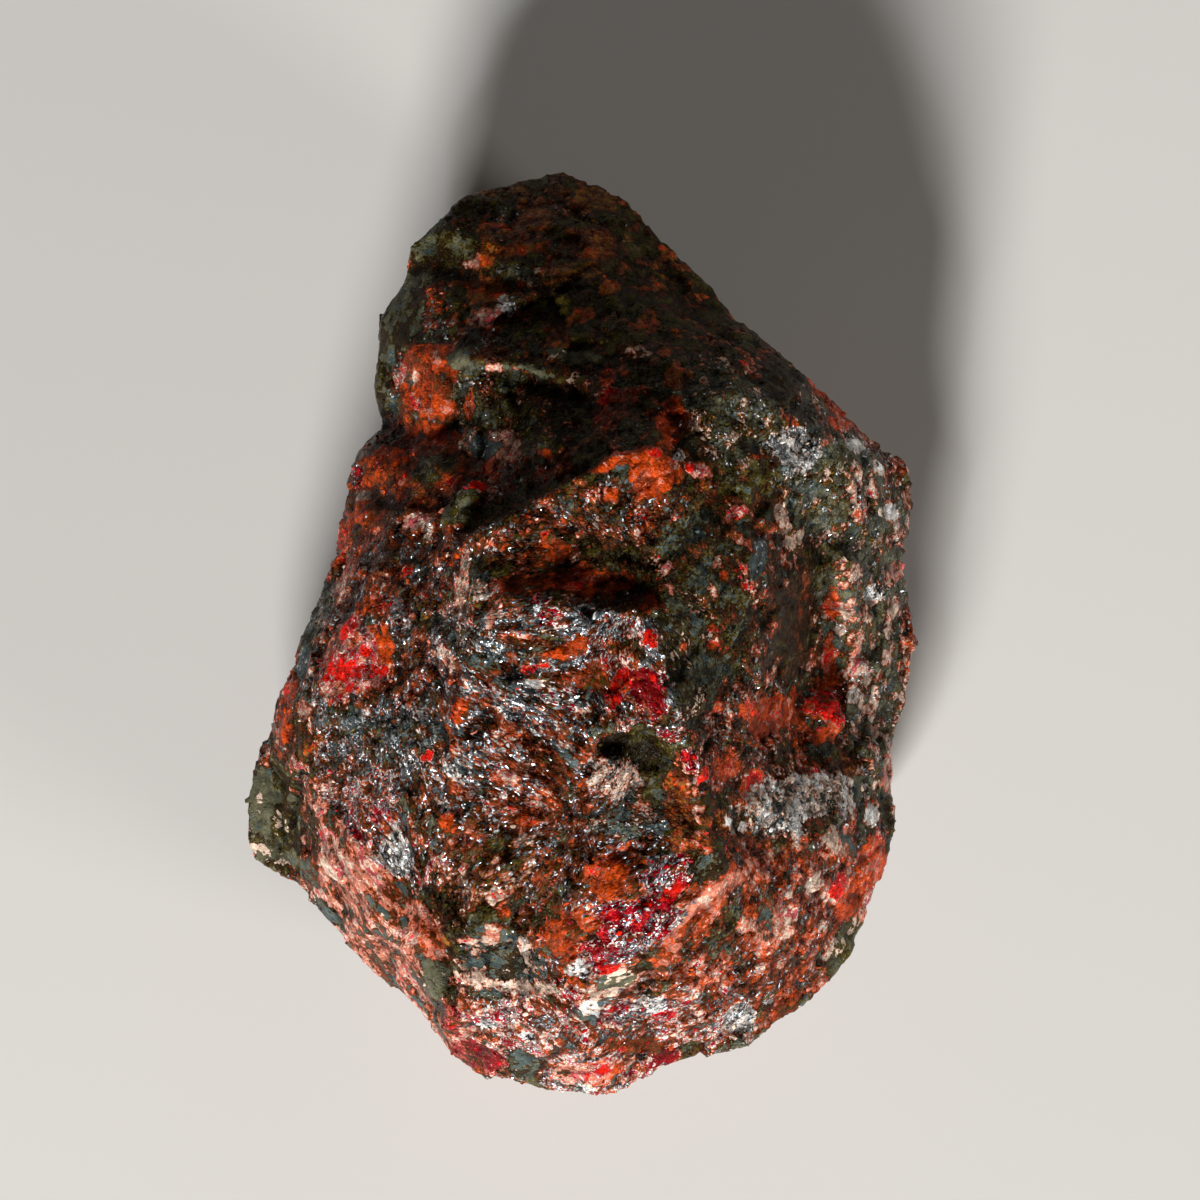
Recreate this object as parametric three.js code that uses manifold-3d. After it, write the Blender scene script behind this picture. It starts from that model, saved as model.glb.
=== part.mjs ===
// A rough hand specimen of diaspore: one broken, coarse-grained lump lying on a flat fracture.
// Millimetres, +Z up, +Y towards the narrow end, origin under the middle of the lump.
import * as THREE from "three";
import { mergeVertices } from "three/addons/utils/BufferGeometryUtils.js";
import { TessellateModifier } from "three/addons/modifiers/TessellateModifier.js";
import { ImprovedNoise } from "three/addons/math/ImprovedNoise.js";
import Module from "manifold-3d";

const lengthY = 88; // narrow end to broad end
const lineStep = 2.6; // spacing of the points along every edge line
const longestEdge = 3.3; // longest triangle edge on the finished lump
const splitRounds = 14; // the most times an edge is halved to reach that
const mergeReach = 1e-4; // points closer than this are one point
const warpSize = 13; // size of the broad undulations of the broken faces
const warpDepth = 1.1;
const chipSize = 5; // size of the smaller chips
const chipDepth = 0.35;
const baseSink = 1.8; // how far the underside is ground away to leave the flat it rests on
const slabDepth = 7; // of the block that grinds it

// Edge lines of the broken surface, each a run of [x, y, z] corners.
// The widest line of the lump, clockwise from the narrow end.
const rim = [
  [-1.3, 44.4, 17], [2.5, 42.4, 17], [4.9, 41.1, 18], [7.8, 37.7, 19], [11.5, 33.9, 20],
  [15.7, 30, 21], [21.1, 25.2, 21], [24.6, 22.4, 21], [27.9, 19.5, 21], [31.1, 16.6, 19],
  [32.2, 12.2, 17], [31.3, 6, 16], [32.6, 0, 15], [31.5, -6.9, 15], [30.2, -10.7, 15],
  [30.7, -19.7, 16], [29.2, -24.1, 17], [26.1, -31, 20], [21.1, -36.4, 24], [15.7, -39.4, 27],
  [7.7, -41.1, 29], [4.6, -43.2, 30], [1.9, -43.9, 30], [-2.9, -43.4, 29], [-8.1, -42.4, 27],
  [-12.2, -40.4, 25], [-14.8, -36.1, 22], [-17.6, -33.5, 20], [-23, -29.7, 18], [-27.4, -24.8, 15],
  [-32, -22.2, 12], [-32.5, -19.8, 13], [-31.6, -13.6, 14], [-29.7, -10.5, 17], [-28.4, -5.9, 19],
  [-26.3, -0.2, 20], [-22.9, 7.6, 20], [-22, 13.2, 20], [-20.7, 17.2, 19.5], [-18.4, 19.8, 19.5],
  [-19.2, 23.5, 20], [-18.9, 29.3, 20], [-16.4, 33.2, 20], [-15.9, 37.1, 21], [-13.2, 39.8, 20],
  [-10.6, 42, 19], [-6.5, 43, 18],
];
const upperLines = {
  // the front block ends in a ledge that stands over the narrow end
  ledgeLip: [
    [-12.6, 6.6, 39], [-10.5, 9, 41], [-7.9, 10.4, 42], [-4.8, 12, 42.8], [-1.9, 13.4, 43.4],
    [1, 14.7, 43.8], [3.8, 15.9, 44], [6.7, 16.5, 43.8], [9.6, 15.8, 43], [11.6, 15.2, 42],
  ],
  ledgeFoot: [
    [-13.8, 7.6, 34.4], [-11.2, 10.3, 35.4], [-8.4, 11.8, 36.6], [-5.3, 13.4, 38],
    [-2.3, 14.8, 39.6], [0.6, 16.1, 40.8], [3.5, 17.3, 41.8], [6.7, 17.9, 42.2], [10, 17.3, 41.8],
  ],
  // the sparkling crest, curling from the left flank over the top and down the right
  crest: [
    [-8.8, 1.5, 43], [-7.2, 2.7, 44.6], [-4.8, 3.1, 45.4], [-1.9, 3, 46], [1.9, 2.7, 46.4],
    [5.7, 1.9, 46.8], [7.4, 0, 46.8], [8, -3.4, 46.4], [9, -7, 46], [10.4, -10.3, 45.6],
    [11.2, -13.6, 44.8], [11.8, -18.2, 43.6], [13.5, -22.2, 42.6],
  ],
  crestBack: [
    [-7, 4.4, 43.4], [-3.8, 4.9, 43.9], [0, 5, 44], [3.8, 4.6, 43.8], [6.3, 4, 44.6],
  ],
  hollowSide: [[8.2, 2.8, 45.8], [8, 6.5, 44.9], [8.1, 10.3, 44.3], [8.8, 13.2, 43.8]],
  // the dark wall on the right in two slopes, and the valley at its foot
  wallBrow: [
    [14.2, 12.8, 39.4], [15.4, 9, 39.2], [15.8, 3, 39], [15.8, -3, 38.8], [15.6, -9, 38.8],
    [14.8, -13.4, 39.8],
  ],
  wallFoot: [
    [20.8, 11.6, 31.6], [22.6, 6.5, 27.6], [23.7, 1.7, 24.4], [24, -3, 23.4], [23.6, -7.9, 23.6],
    [21.6, -12.2, 26.6],
  ],
  benchLip: [[24.8, 6.2, 27.4], [26.2, 1.6, 24.6], [26.4, -3.2, 23.4], [26, -8.2, 23.4]],
  // small steps across the front face, and the pocket below the crest
  frontStep: [[-1.6, -15, 43.8], [-4.6, -19, 42.8], [-8, -22.8, 41.4], [-10.4, -26.6, 40]],
  frontStepFoot: [[-3, -15.8, 42.9], [-6.2, -20, 41.6], [-9.4, -23.8, 40.2], [-11.6, -27.4, 38.6]],
  flankStep: [[-9.4, -2.6, 43.6], [-11, -7, 42.8], [-12, -12, 41.2]],
  flankStepFoot: [[-11, -2.4, 41.8], [-12.6, -7, 41], [-13.6, -12, 39.4]],
  pocketEdge: [[1.4, -9, 45.2], [4.8, -8.8, 45.6], [8, -9.4, 45.8]],
  pocketFloor: [
    [2, -10.8, 43.8], [5, -10.8, 43.6], [7.6, -11.6, 43.6], [7.4, -16, 42], [6.4, -20.6, 42.2],
  ],
  crevice: [[13.8, -9.4, 40.4], [12.8, -11.8, 41.4], [12.1, -14.4, 42.6]],
  spur: [[13.8, -21, 42], [16.4, -17.8, 38], [20.4, -15, 32.6], [25, -14.4, 25.6]],
  // the seam between the front face and the lower right face
  seam: [
    [12.4, -24, 42.4], [9, -27, 42], [6, -30, 41.6], [3, -32.6, 40.4], [0.4, -34.4, 39.4],
    [-2.2, -35.4, 38.4], [-7.6, -35.4, 36.6], [-12.2, -35, 34.4],
  ],
  // the edge between the front face and the smooth lower left face
  leftEdge: [
    [-26.6, -13.4, 25.6], [-24.4, -17.6, 27.8], [-22.4, -21.4, 29.6], [-18.8, -26, 32.2],
    [-15.6, -29.6, 33.8], [-13.4, -33.2, 34.2],
  ],
  leftEdgeFoot: [[-12.6, -37.4, 31.4]],
  // the outer edge of the left flank
  leftBrow: [
    [-13.6, 15.4, 31.6], [-16.4, 11.6, 30.9], [-19.4, 6.6, 30.7], [-22.2, 0.8, 30],
    [-24.4, -5, 28.4], [-25.8, -10.4, 26.4],
  ],
  flapStep: [[-27.6, -14.4, 20.5], [-27.3, -19.2, 19.6], [-26.6, -22.8, 18.4]],
  flapFoot: [[-29.2, -15.6, 15.6], [-28.9, -19.6, 14.4], [-28.4, -22.2, 14.2]],
  // the narrow end: a small terrace, two bevels on its left side and a bulge below them
  terraceLip: [[-11, 25.8, 31], [-7.4, 25.4, 32.4], [-3.4, 24.8, 33.8], [0.8, 23.4, 35.2]],
  terraceFoot: [[-11, 24.6, 30], [-7.4, 24.2, 31.2], [-3.6, 23.5, 32.6], [0.6, 22.1, 34.2]],
  upperBevel: [[-12.4, 38.4, 22.4], [-9.4, 36.8, 24.4], [-6.4, 35, 26.2], [-3.6, 33.8, 27.8]],
  upperBevelFoot: [[-13.8, 34.9, 21.8], [-10.8, 33.4, 24], [-7.8, 32.4, 26.2]],
  lowerTier: [[-13.8, 32.2, 24.2], [-10.6, 31, 27], [-7, 30, 28.6], [-3.4, 29.6, 30]],
  lowerBevel: [[-14.8, 30.6, 23.8], [-16.4, 27, 23.8], [-16.8, 22.6, 22.8]],
  bulge: [[-14.6, 25.4, 27.2], [-13.6, 22, 28.2], [-11.4, 20.4, 29]],
  notch: [[-15.6, 18.8, 24.2], [-12, 17.8, 29.4]],
  backRidge: [[8, 22, 38], [5.6, 26, 34.6], [3.6, 31, 30.6], [1.4, 36, 26], [0, 40.4, 21.8]],
  // the pale knob beside the ledge and the shoulder beyond it
  knobTop: [[11.4, 22.2, 39.8], [14.4, 23.4, 38.8], [18.8, 21.4, 35.8], [23, 18.8, 31.6]],
  knobFoot: [[11.2, 25, 36.4], [15.4, 25.8, 33.8], [20.4, 23, 30.6]],
  knobCrack: [[12.4, 15, 40.6], [16, 14.6, 38.6], [20, 15.2, 35.4]],
  shoulder: [[21.4, 16.6, 33.8], [25.8, 15.2, 29.8], [27, 10.4, 27.4]],
};
// Single points that hold up, or hollow, the faces between those lines.
const upperSpots = [
  [-2, 9.6, 43.4], [3.4, 10.4, 43.8], [-7, 7, 42.6], [-19.4, 17.2, 23], [-14.4, 2, 37.4],
  [-13.6, -6, 38.6], [-18.6, -8.6, 34.2], [-8.6, -12.6, 42], [-19.6, -15.2, 32.4],
  [-10.8, -22.4, 38.6], [2.6, -6, 45.2], [4, -17, 43.4], [6.6, -23.6, 43], [2, -12.8, 44.2],
  [-3.4, -28.4, 40.6], [-22.6, -24.2, 24.4], [-17.8, -30, 26.6], [19.4, -22.6, 33.2],
  [25.4, -21.4, 25.6], [17.4, -29.6, 33.6], [10.6, -34.4, 35.8], [22.6, -29.4, 26.8],
  [0, -39.6, 35], [28, -13, 21.4], [28.8, 1, 20.4], [28.6, -6.4, 20], [-5, 27.4, 31.8],
  [0.6, 28.6, 31.6], [-4.6, 38.4, 23.8], [-8.4, 20.6, 31.4], [-3.4, 19, 36], [3, 20.6, 38.6],
  [8.4, 30, 28.6],
];
// The belly below the rim and the foot of the lump, both clockwise from the narrow end.
const belly = [
  [0.5, 41.6, 10], [8.6, 34, 6], [18, 26, 11], [28.4, 16.6, 12], [30, 5, 8], [28.6, -9, 4.5],
  [28, -21, 5], [20, -34, 11], [9, -38.6, 14], [-3, -41, 12], [-12.4, -36.6, 7],
  [-21, -28.4, 5.5], [-29.6, -21.6, 5.4], [-30, -17, 6], [-26.4, -7, 9.5], [-21.4, 6, 11],
  [-17, 19, 7], [-16.4, 30, 6.5], [-12, 37.8, 10], [-7, 41, 11],
];
const foot = [
  [1, 33, -baseSink], [10, 25, -baseSink], [21, 15, -baseSink], [24.6, -2, -baseSink],
  [24, -18, -baseSink], [12, -32, -baseSink], [-4, -34.5, -baseSink], [-16, -23.5, -baseSink],
  [-22.5, -10, -baseSink], [-16, 8, -baseSink], [-12, 25, -baseSink],
];
// The middle of the lump, and how far each run below the rim is drawn in towards it when laid out flat.
const middle = [1, -3];
const bellyShare = 0.95;
const footShare = 0.6;

const noise = new ImprovedNoise();

// Points about one step apart along a run of corners.
function spaced(corners, closed, step = lineStep) {
  const points = [];
  const last = closed ? corners.length : corners.length - 1;
  for (let i = 0; i < last; i++) {
    const from = new THREE.Vector3(...corners[i]);
    const to = new THREE.Vector3(...corners[(i + 1) % corners.length]);
    const steps = Math.max(1, Math.round(from.distanceTo(to) / step));
    for (let k = 0; k < steps; k++) points.push(from.clone().lerp(to, k / steps));
  }
  if (!closed) points.push(new THREE.Vector3(...corners.at(-1)));
  return points;
}

function circumcircle(a, b, c) {
  const d = 2 * (a.x * (b.y - c.y) + b.x * (c.y - a.y) + c.x * (a.y - b.y));
  const aa = a.x * a.x + a.y * a.y;
  const bb = b.x * b.x + b.y * b.y;
  const cc = c.x * c.x + c.y * c.y;
  const x = (aa * (b.y - c.y) + bb * (c.y - a.y) + cc * (a.y - b.y)) / d;
  const y = (aa * (c.x - b.x) + bb * (a.x - c.x) + cc * (b.x - a.x)) / d;
  return { x, y, r2: (a.x - x) ** 2 + (a.y - y) ** 2 };
}

// Delaunay triangles over flat points, as counterclockwise index triples.
function triangulate(points) {
  const far = 12 * lengthY; // the corners of a triangle that holds every point
  const frame = [[-far, -far], [far, -far], [0, far]].map(([x, y]) => new THREE.Vector2(x, y));
  const all = [...points, ...frame];
  const n = points.length;
  const cell = (i, j, k) => ({ i, j, k, ...circumcircle(all[i], all[j], all[k]) });
  let cells = [cell(n, n + 1, n + 2)];
  for (let p = 0; p < n; p++) {
    const { x, y } = all[p];
    const open = new Map();
    const kept = [];
    for (const t of cells) {
      if ((t.x - x) ** 2 + (t.y - y) ** 2 >= t.r2) {
        kept.push(t);
        continue;
      }
      for (const [u, v] of [[t.i, t.j], [t.j, t.k], [t.k, t.i]]) {
        if (!open.delete(v + " " + u)) open.set(u + " " + v, [u, v]);
      }
    }
    for (const [u, v] of open.values()) kept.push(cell(u, v, p));
    cells = kept;
  }
  return cells.filter((t) => Math.max(t.i, t.j, t.k) < n).map((t) => [t.i, t.j, t.k]);
}

function insideOutline(outline, x, y) {
  let inside = false;
  for (let i = 0, j = outline.length - 1; i < outline.length; j = i++) {
    const a = outline[i];
    const b = outline[j];
    if (a.y > y !== b.y > y && x < a.x + ((b.x - a.x) * (y - a.y)) / (b.y - a.y)) inside = !inside;
  }
  return inside;
}

// The triangles of a sheet whose points are laid out flat, the first ones being its outline.
function sheet(points, flat, outlineCount, faceDown) {
  const outline = flat.slice(0, outlineCount);
  const positions = [];
  for (const [i, j, k] of triangulate(flat)) {
    const x = (flat[i].x + flat[j].x + flat[k].x) / 3;
    const y = (flat[i].y + flat[j].y + flat[k].y) / 3;
    if (!insideOutline(outline, x, y)) continue;
    for (const n of faceDown ? [i, k, j] : [i, j, k]) positions.push(...points[n]);
  }
  return positions;
}

function upperSheet(outline) {
  const inner = Object.values(upperLines).flatMap((line) => spaced(line, false));
  const points = [...outline, ...inner, ...upperSpots.map((p) => new THREE.Vector3(...p))];
  return sheet(points, points.map((p) => new THREE.Vector2(p.x, p.y)), outline.length, false);
}

// The underside, laid out flat by drawing each run below the rim in towards the middle.
function lowerSheet(outline) {
  const points = [...outline];
  const flat = outline.map((p) => new THREE.Vector2(p.x, p.y));
  for (const [run, share] of [[belly, bellyShare], [foot, footShare]]) {
    for (const p of spaced(run, true, 2 * lineStep)) {
      points.push(p);
      flat.push(new THREE.Vector2(...middle).lerp(new THREE.Vector2(p.x, p.y), share));
    }
  }
  return sheet(points, flat, outline.length, true);
}

// Moves every point by a smooth random field, so that no face of the stone stays a true plane.
function warp(position) {
  const p = new THREE.Vector3();
  for (let i = 0; i < position.count; i++) {
    p.fromBufferAttribute(position, i);
    const shift = new THREE.Vector3();
    for (const [size, depth] of [[warpSize, warpDepth], [chipSize, chipDepth]]) {
      shift.x += depth * noise.noise(p.x / size + 3.1, p.y / size, p.z / size);
      shift.y += depth * noise.noise(p.x / size, p.y / size + 7.7, p.z / size);
      shift.z += depth * noise.noise(p.x / size, p.y / size, p.z / size + 5.3);
    }
    position.setXYZ(i, p.x + shift.x, p.y + shift.y, p.z + shift.z);
  }
}

const wasm = await Module();
wasm.setup();

function solidOf(geometry) {
  const bare = new THREE.BufferGeometry();
  bare.setAttribute("position", geometry.getAttribute("position"));
  if (geometry.index) bare.setIndex(geometry.index);
  const merged = mergeVertices(bare, mergeReach);
  return new wasm.Manifold(
    new wasm.Mesh({
      numProp: 3,
      vertProperties: merged.getAttribute("position").array,
      triVerts: new Uint32Array(merged.index.array),
    }),
  );
}

function geometryOf(solid) {
  const mesh = solid.getMesh();
  const made = new THREE.BufferGeometry();
  made.setAttribute("position", new THREE.BufferAttribute(mesh.vertProperties, 3));
  made.setIndex(new THREE.BufferAttribute(mesh.triVerts, 1));
  return made;
}

// The lump in small triangles, roughened, with the flat it rests on cut across its foot.
function brokenLump() {
  const outline = spaced(rim, true);
  const positions = [...upperSheet(outline), ...lowerSheet(outline)];
  const faces = new THREE.BufferGeometry();
  faces.setAttribute("position", new THREE.Float32BufferAttribute(positions, 3));
  const lump = new TessellateModifier(longestEdge, splitRounds).modify(faces);
  warp(lump.getAttribute("position"));
  const slab = new THREE.BoxGeometry(2 * lengthY, 2 * lengthY, slabDepth);
  slab.translate(0, 0, -slabDepth / 2);
  return geometryOf(solidOf(lump).subtract(solidOf(slab)));
}

// Scaled to its stated length and centred over the origin, resting on z = 0.
function placed(geometry) {
  geometry.computeBoundingBox();
  const { min, max } = geometry.boundingBox;
  geometry.translate(-(min.x + max.x) / 2, -(min.y + max.y) / 2, -min.z);
  const scale = lengthY / (max.y - min.y);
  return geometry.scale(scale, scale, scale);
}

const stoneFinish = new THREE.MeshStandardMaterial({ color: 0x5a2a20, roughness: 0.55, metalness: 0 });
const stone = new THREE.Mesh(placed(brokenLump()), stoneFinish);
stone.geometry.computeVertexNormals();
stone.name = "diaspore_stone";

const specimen = new THREE.Group();
specimen.add(stone);
export default specimen;
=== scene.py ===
import itertools
import math

import bmesh
import bpy
import numpy as np
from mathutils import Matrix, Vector, noise


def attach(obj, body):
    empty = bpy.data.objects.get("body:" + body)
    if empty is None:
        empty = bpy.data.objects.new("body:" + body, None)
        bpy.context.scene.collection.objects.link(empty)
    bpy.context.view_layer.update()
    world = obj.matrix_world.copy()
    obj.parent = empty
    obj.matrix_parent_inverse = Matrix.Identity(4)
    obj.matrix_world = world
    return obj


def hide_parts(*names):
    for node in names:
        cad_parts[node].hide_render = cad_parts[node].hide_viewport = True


# A rough diaspore specimen: one broken stone of red, green, cream and steel-bright grains, on a pale floor.

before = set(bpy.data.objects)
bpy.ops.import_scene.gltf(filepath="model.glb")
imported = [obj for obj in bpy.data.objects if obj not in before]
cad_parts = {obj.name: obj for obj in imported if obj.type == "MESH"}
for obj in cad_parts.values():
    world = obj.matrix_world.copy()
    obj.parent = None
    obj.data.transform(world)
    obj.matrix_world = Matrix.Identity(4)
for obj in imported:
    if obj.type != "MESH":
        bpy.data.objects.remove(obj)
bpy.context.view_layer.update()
scene = bpy.context.scene
mm = 0.001


# Camera, floor and light.
cameraSettings = {
    "aim": (1.9, 2.7, 20.0),  # mm, the middle of the view
    "seen": 114.8,  # mm across the view at that height
    "lens": 180.0,
    "sensor": 36.0,
    "clipStart": 0.01,  # metres
}


def placeCamera(use):
    data = bpy.data.cameras.new("camera")
    data.lens = use["lens"]
    data.sensor_width = use["sensor"]
    data.clip_start = use["clipStart"]
    camera = bpy.data.objects.new("camera", data)
    distance = use["seen"] * use["lens"] / use["sensor"]
    camera.location = (Vector(use["aim"]) + Vector((0, 0, distance))) * mm
    scene.collection.objects.link(camera)
    scene.camera = camera


placeCamera(cameraSettings)
print("camera placed")


class Wire:
    # One output of a node. Sums written with it add Math nodes.
    def __init__(self, graph, socket):
        self.graph = graph
        self.socket = socket

    def out(self, name):
        # Another output of the same node.
        return Wire(self.graph, self.socket.node.outputs[name])

    def maths(self, operation, a, b):
        return self.graph.node("ShaderNodeMath", {"operation": operation}, {0: a, 1: b})

    def __add__(self, other):
        return self.maths("ADD", self, other)

    __radd__ = __add__

    def __sub__(self, other):
        return self.maths("SUBTRACT", self, other)

    def __rsub__(self, other):
        return self.maths("SUBTRACT", other, self)

    def __mul__(self, other):
        return self.maths("MULTIPLY", self, other)

    __rmul__ = __mul__

    def __truediv__(self, other):
        return self.maths("DIVIDE", self, other)

    def __rtruediv__(self, other):
        return self.maths("DIVIDE", other, self)

    def __pow__(self, other):
        return self.maths("POWER", self, other)

    def __gt__(self, other):
        return self.maths("GREATER_THAN", self, other)

    def __lt__(self, other):
        return self.maths("LESS_THAN", self, other)


class Graph:
    # A node tree, and the one method that adds to it. The others call that one for what is needed often.
    def __init__(self, tree):
        self.tree = tree
        self.sockets = {}

    def node(self, kind, settings=None, inputs=None, output=0):
        made = self.tree.nodes.new(kind)
        for name, value in (settings or {}).items():
            setattr(made, name, value)
        for name, value in (inputs or {}).items():
            if isinstance(value, Wire):
                self.tree.links.new(value.socket, made.inputs[name])
            else:
                made.inputs[name].default_value = value
        return Wire(self, made.outputs[output]) if made.outputs else None

    def vector(self, operation, a, b=None):
        # Two vectors, or for SCALE a vector and a number.
        slot = "Scale" if operation == "SCALE" else 1
        inputs = {0: a} if b is None else {0: a, slot: b}
        result = "Value" if operation == "DOT_PRODUCT" else "Vector"
        return self.node("ShaderNodeVectorMath", {"operation": operation}, inputs, result)

    def centred(self, colour):
        # A random colour as a vector about zero.
        return self.vector("SUBTRACT", colour, (0.5, 0.5, 0.5))

    def mixColour(self, factor, a, b):
        # The Mix node has its colours at inputs 6 and 7 and at output 2.
        return self.node("ShaderNodeMix", {"data_type": "RGBA"}, {0: factor, 6: a, 7: b}, 2)

    def mixNumber(self, factor, a, b):
        return self.node("ShaderNodeMix", {"data_type": "FLOAT"}, {0: factor, 2: a, 3: b})

    def between(self, value, low, high):
        # 0 below low, 1 above high, with a soft step between.
        settings = {"interpolation_type": "SMOOTHSTEP"}
        return self.node("ShaderNodeMapRange", settings, {0: value, 1: low, 2: high})

    def noise(self, place, kind, output=0):
        # The kind is the size of the lumps in mm and the detail in them.
        size, detail = kind
        inputs = {"Vector": place, "Scale": 1 / (size * mm), "Detail": detail}
        return self.node("ShaderNodeTexNoise", None, inputs, output)


def rising(limits, amount):
    # Starts at the first number, and gains the second as the amount goes from 0 to 1.
    start, gain = limits
    return start + gain * amount


def newShader(name):
    material = bpy.data.materials.new(name)
    material.use_nodes = True
    material.node_tree.nodes.clear()
    return material, Graph(material.node_tree)


def finishShader(graph, surface, shared):
    # The surface holds what changes over the piece, and shared what is the same all over it.
    principled = graph.node("ShaderNodeBsdfPrincipled", None, {**surface, **shared})
    graph.node("ShaderNodeOutputMaterial", None, {"Surface": principled})


stageSettings = {
    "floorSize": 3.0,  # metres
    "floorColour": (0.62, 0.61, 0.59, 1),
    "floorRough": 0.75,
    "floorSpecular": 0.1,
    "sky": (1.0, 0.88, 0.74, 1),
    "skyStrength": 0.018,
}

# The way to each lamp from the stone, its distance and width in metres, its watts and its colour.
lampSettings = {
    "keySoftbox": ((-0.22, -0.80, 0.54), 2.0, 0.60, 64.0, (1.0, 0.97, 0.94)),
    "rightSoftbox": ((0.84, -0.50, 0.34), 2.0, 0.60, 16.5, (1.0, 0.97, 0.94)),
    "coolStrip": ((-0.25, -0.70, 0.66), 2.0, 0.14, 5.0, (0.80, 0.90, 1.0)),
    "backFill": ((0.30, 0.95, 0.24), 2.0, 1.2, 3.0, (1.0, 0.92, 0.80)),
}


def layFloor(use):
    half = use["floorSize"] / 2
    corners = [(-half, -half, 0), (half, -half, 0), (half, half, 0), (-half, half, 0)]
    mesh = bpy.data.meshes.new("floor")
    mesh.from_pydata(corners, [], [(0, 1, 2, 3)])
    floor = bpy.data.objects.new("floor", mesh)
    scene.collection.objects.link(floor)
    material, graph = newShader("paleFloor")
    shared = {
        "Base Color": use["floorColour"],
        "Roughness": use["floorRough"],
        "Specular IOR Level": use["floorSpecular"],
    }
    finishShader(graph, {}, shared)
    mesh.materials.append(material)


def hangLamp(name, direction, distance, width, watts, colour):
    data = bpy.data.lights.new(name, "AREA")
    data.shape = "DISK"
    data.size = width
    data.energy = watts
    data.color = colour
    lamp = bpy.data.objects.new(name, data)
    way = Vector(direction).normalized()
    lamp.location = way * distance
    lamp.rotation_euler = way.to_track_quat("Z", "Y").to_euler()
    lamp.visible_camera = False
    scene.collection.objects.link(lamp)


def lightSky(use):
    world = bpy.data.worlds.new("studio")
    world.use_nodes = True
    background = world.node_tree.nodes["Background"]
    background.inputs["Color"].default_value = use["sky"]
    background.inputs["Strength"].default_value = use["skyStrength"]
    scene.world = world


layFloor(stageSettings)
for lampName, lampPlace in lampSettings.items():
    hangLamp(lampName, *lampPlace)
lightSky(stageSettings)
scene.view_settings.view_transform = "Standard"
print("floor and lamps set")


# What the stone is made of: each mineral's colour and roughness. Neighbours here lie side by side in the
# rock. Steel comes last, because its grains are picked on their own.
minerals = {
    "slate": ((0.070, 0.098, 0.096), 0.20),
    "sage": ((0.110, 0.106, 0.062), 0.24),
    "olive": ((0.068, 0.052, 0.006), 0.24),
    "soot": ((0.028, 0.015, 0.004), 0.20),
    "umber": ((0.110, 0.028, 0.006), 0.20),
    "russet": ((0.250, 0.038, 0.007), 0.20),
    "ochre": ((0.270, 0.105, 0.012), 0.22),
    "rust": ((0.560, 0.060, 0.006), 0.20),
    "salmon": ((0.610, 0.190, 0.120), 0.20),
    "cream": ((0.720, 0.520, 0.400), 0.20),
    # Frost is a white mineral, and is also laid as painted highlight where white glints stand as colour.
    "frost": ((0.880, 0.865, 0.845), 0.18),
    "rose": ((0.580, 0.105, 0.105), 0.18),
    "wine": ((0.180, 0.005, 0.005), 0.16),
    "crimson": ((0.380, 0.002, 0.010), 0.14),
    "scarlet": ((0.880, 0.014, 0.005), 0.14),
    "steel": ((0.100, 0.115, 0.130), 0.10),
}
mineralNames = list(minerals)
steelColumn = mineralNames.index("steel")
redColumns = [mineralNames.index(name) for name in ("crimson", "scarlet")]
gritColumn = len(mineralNames)  # in a rock's row, after the minerals
grainColumn = gritColumn + 1
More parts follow.
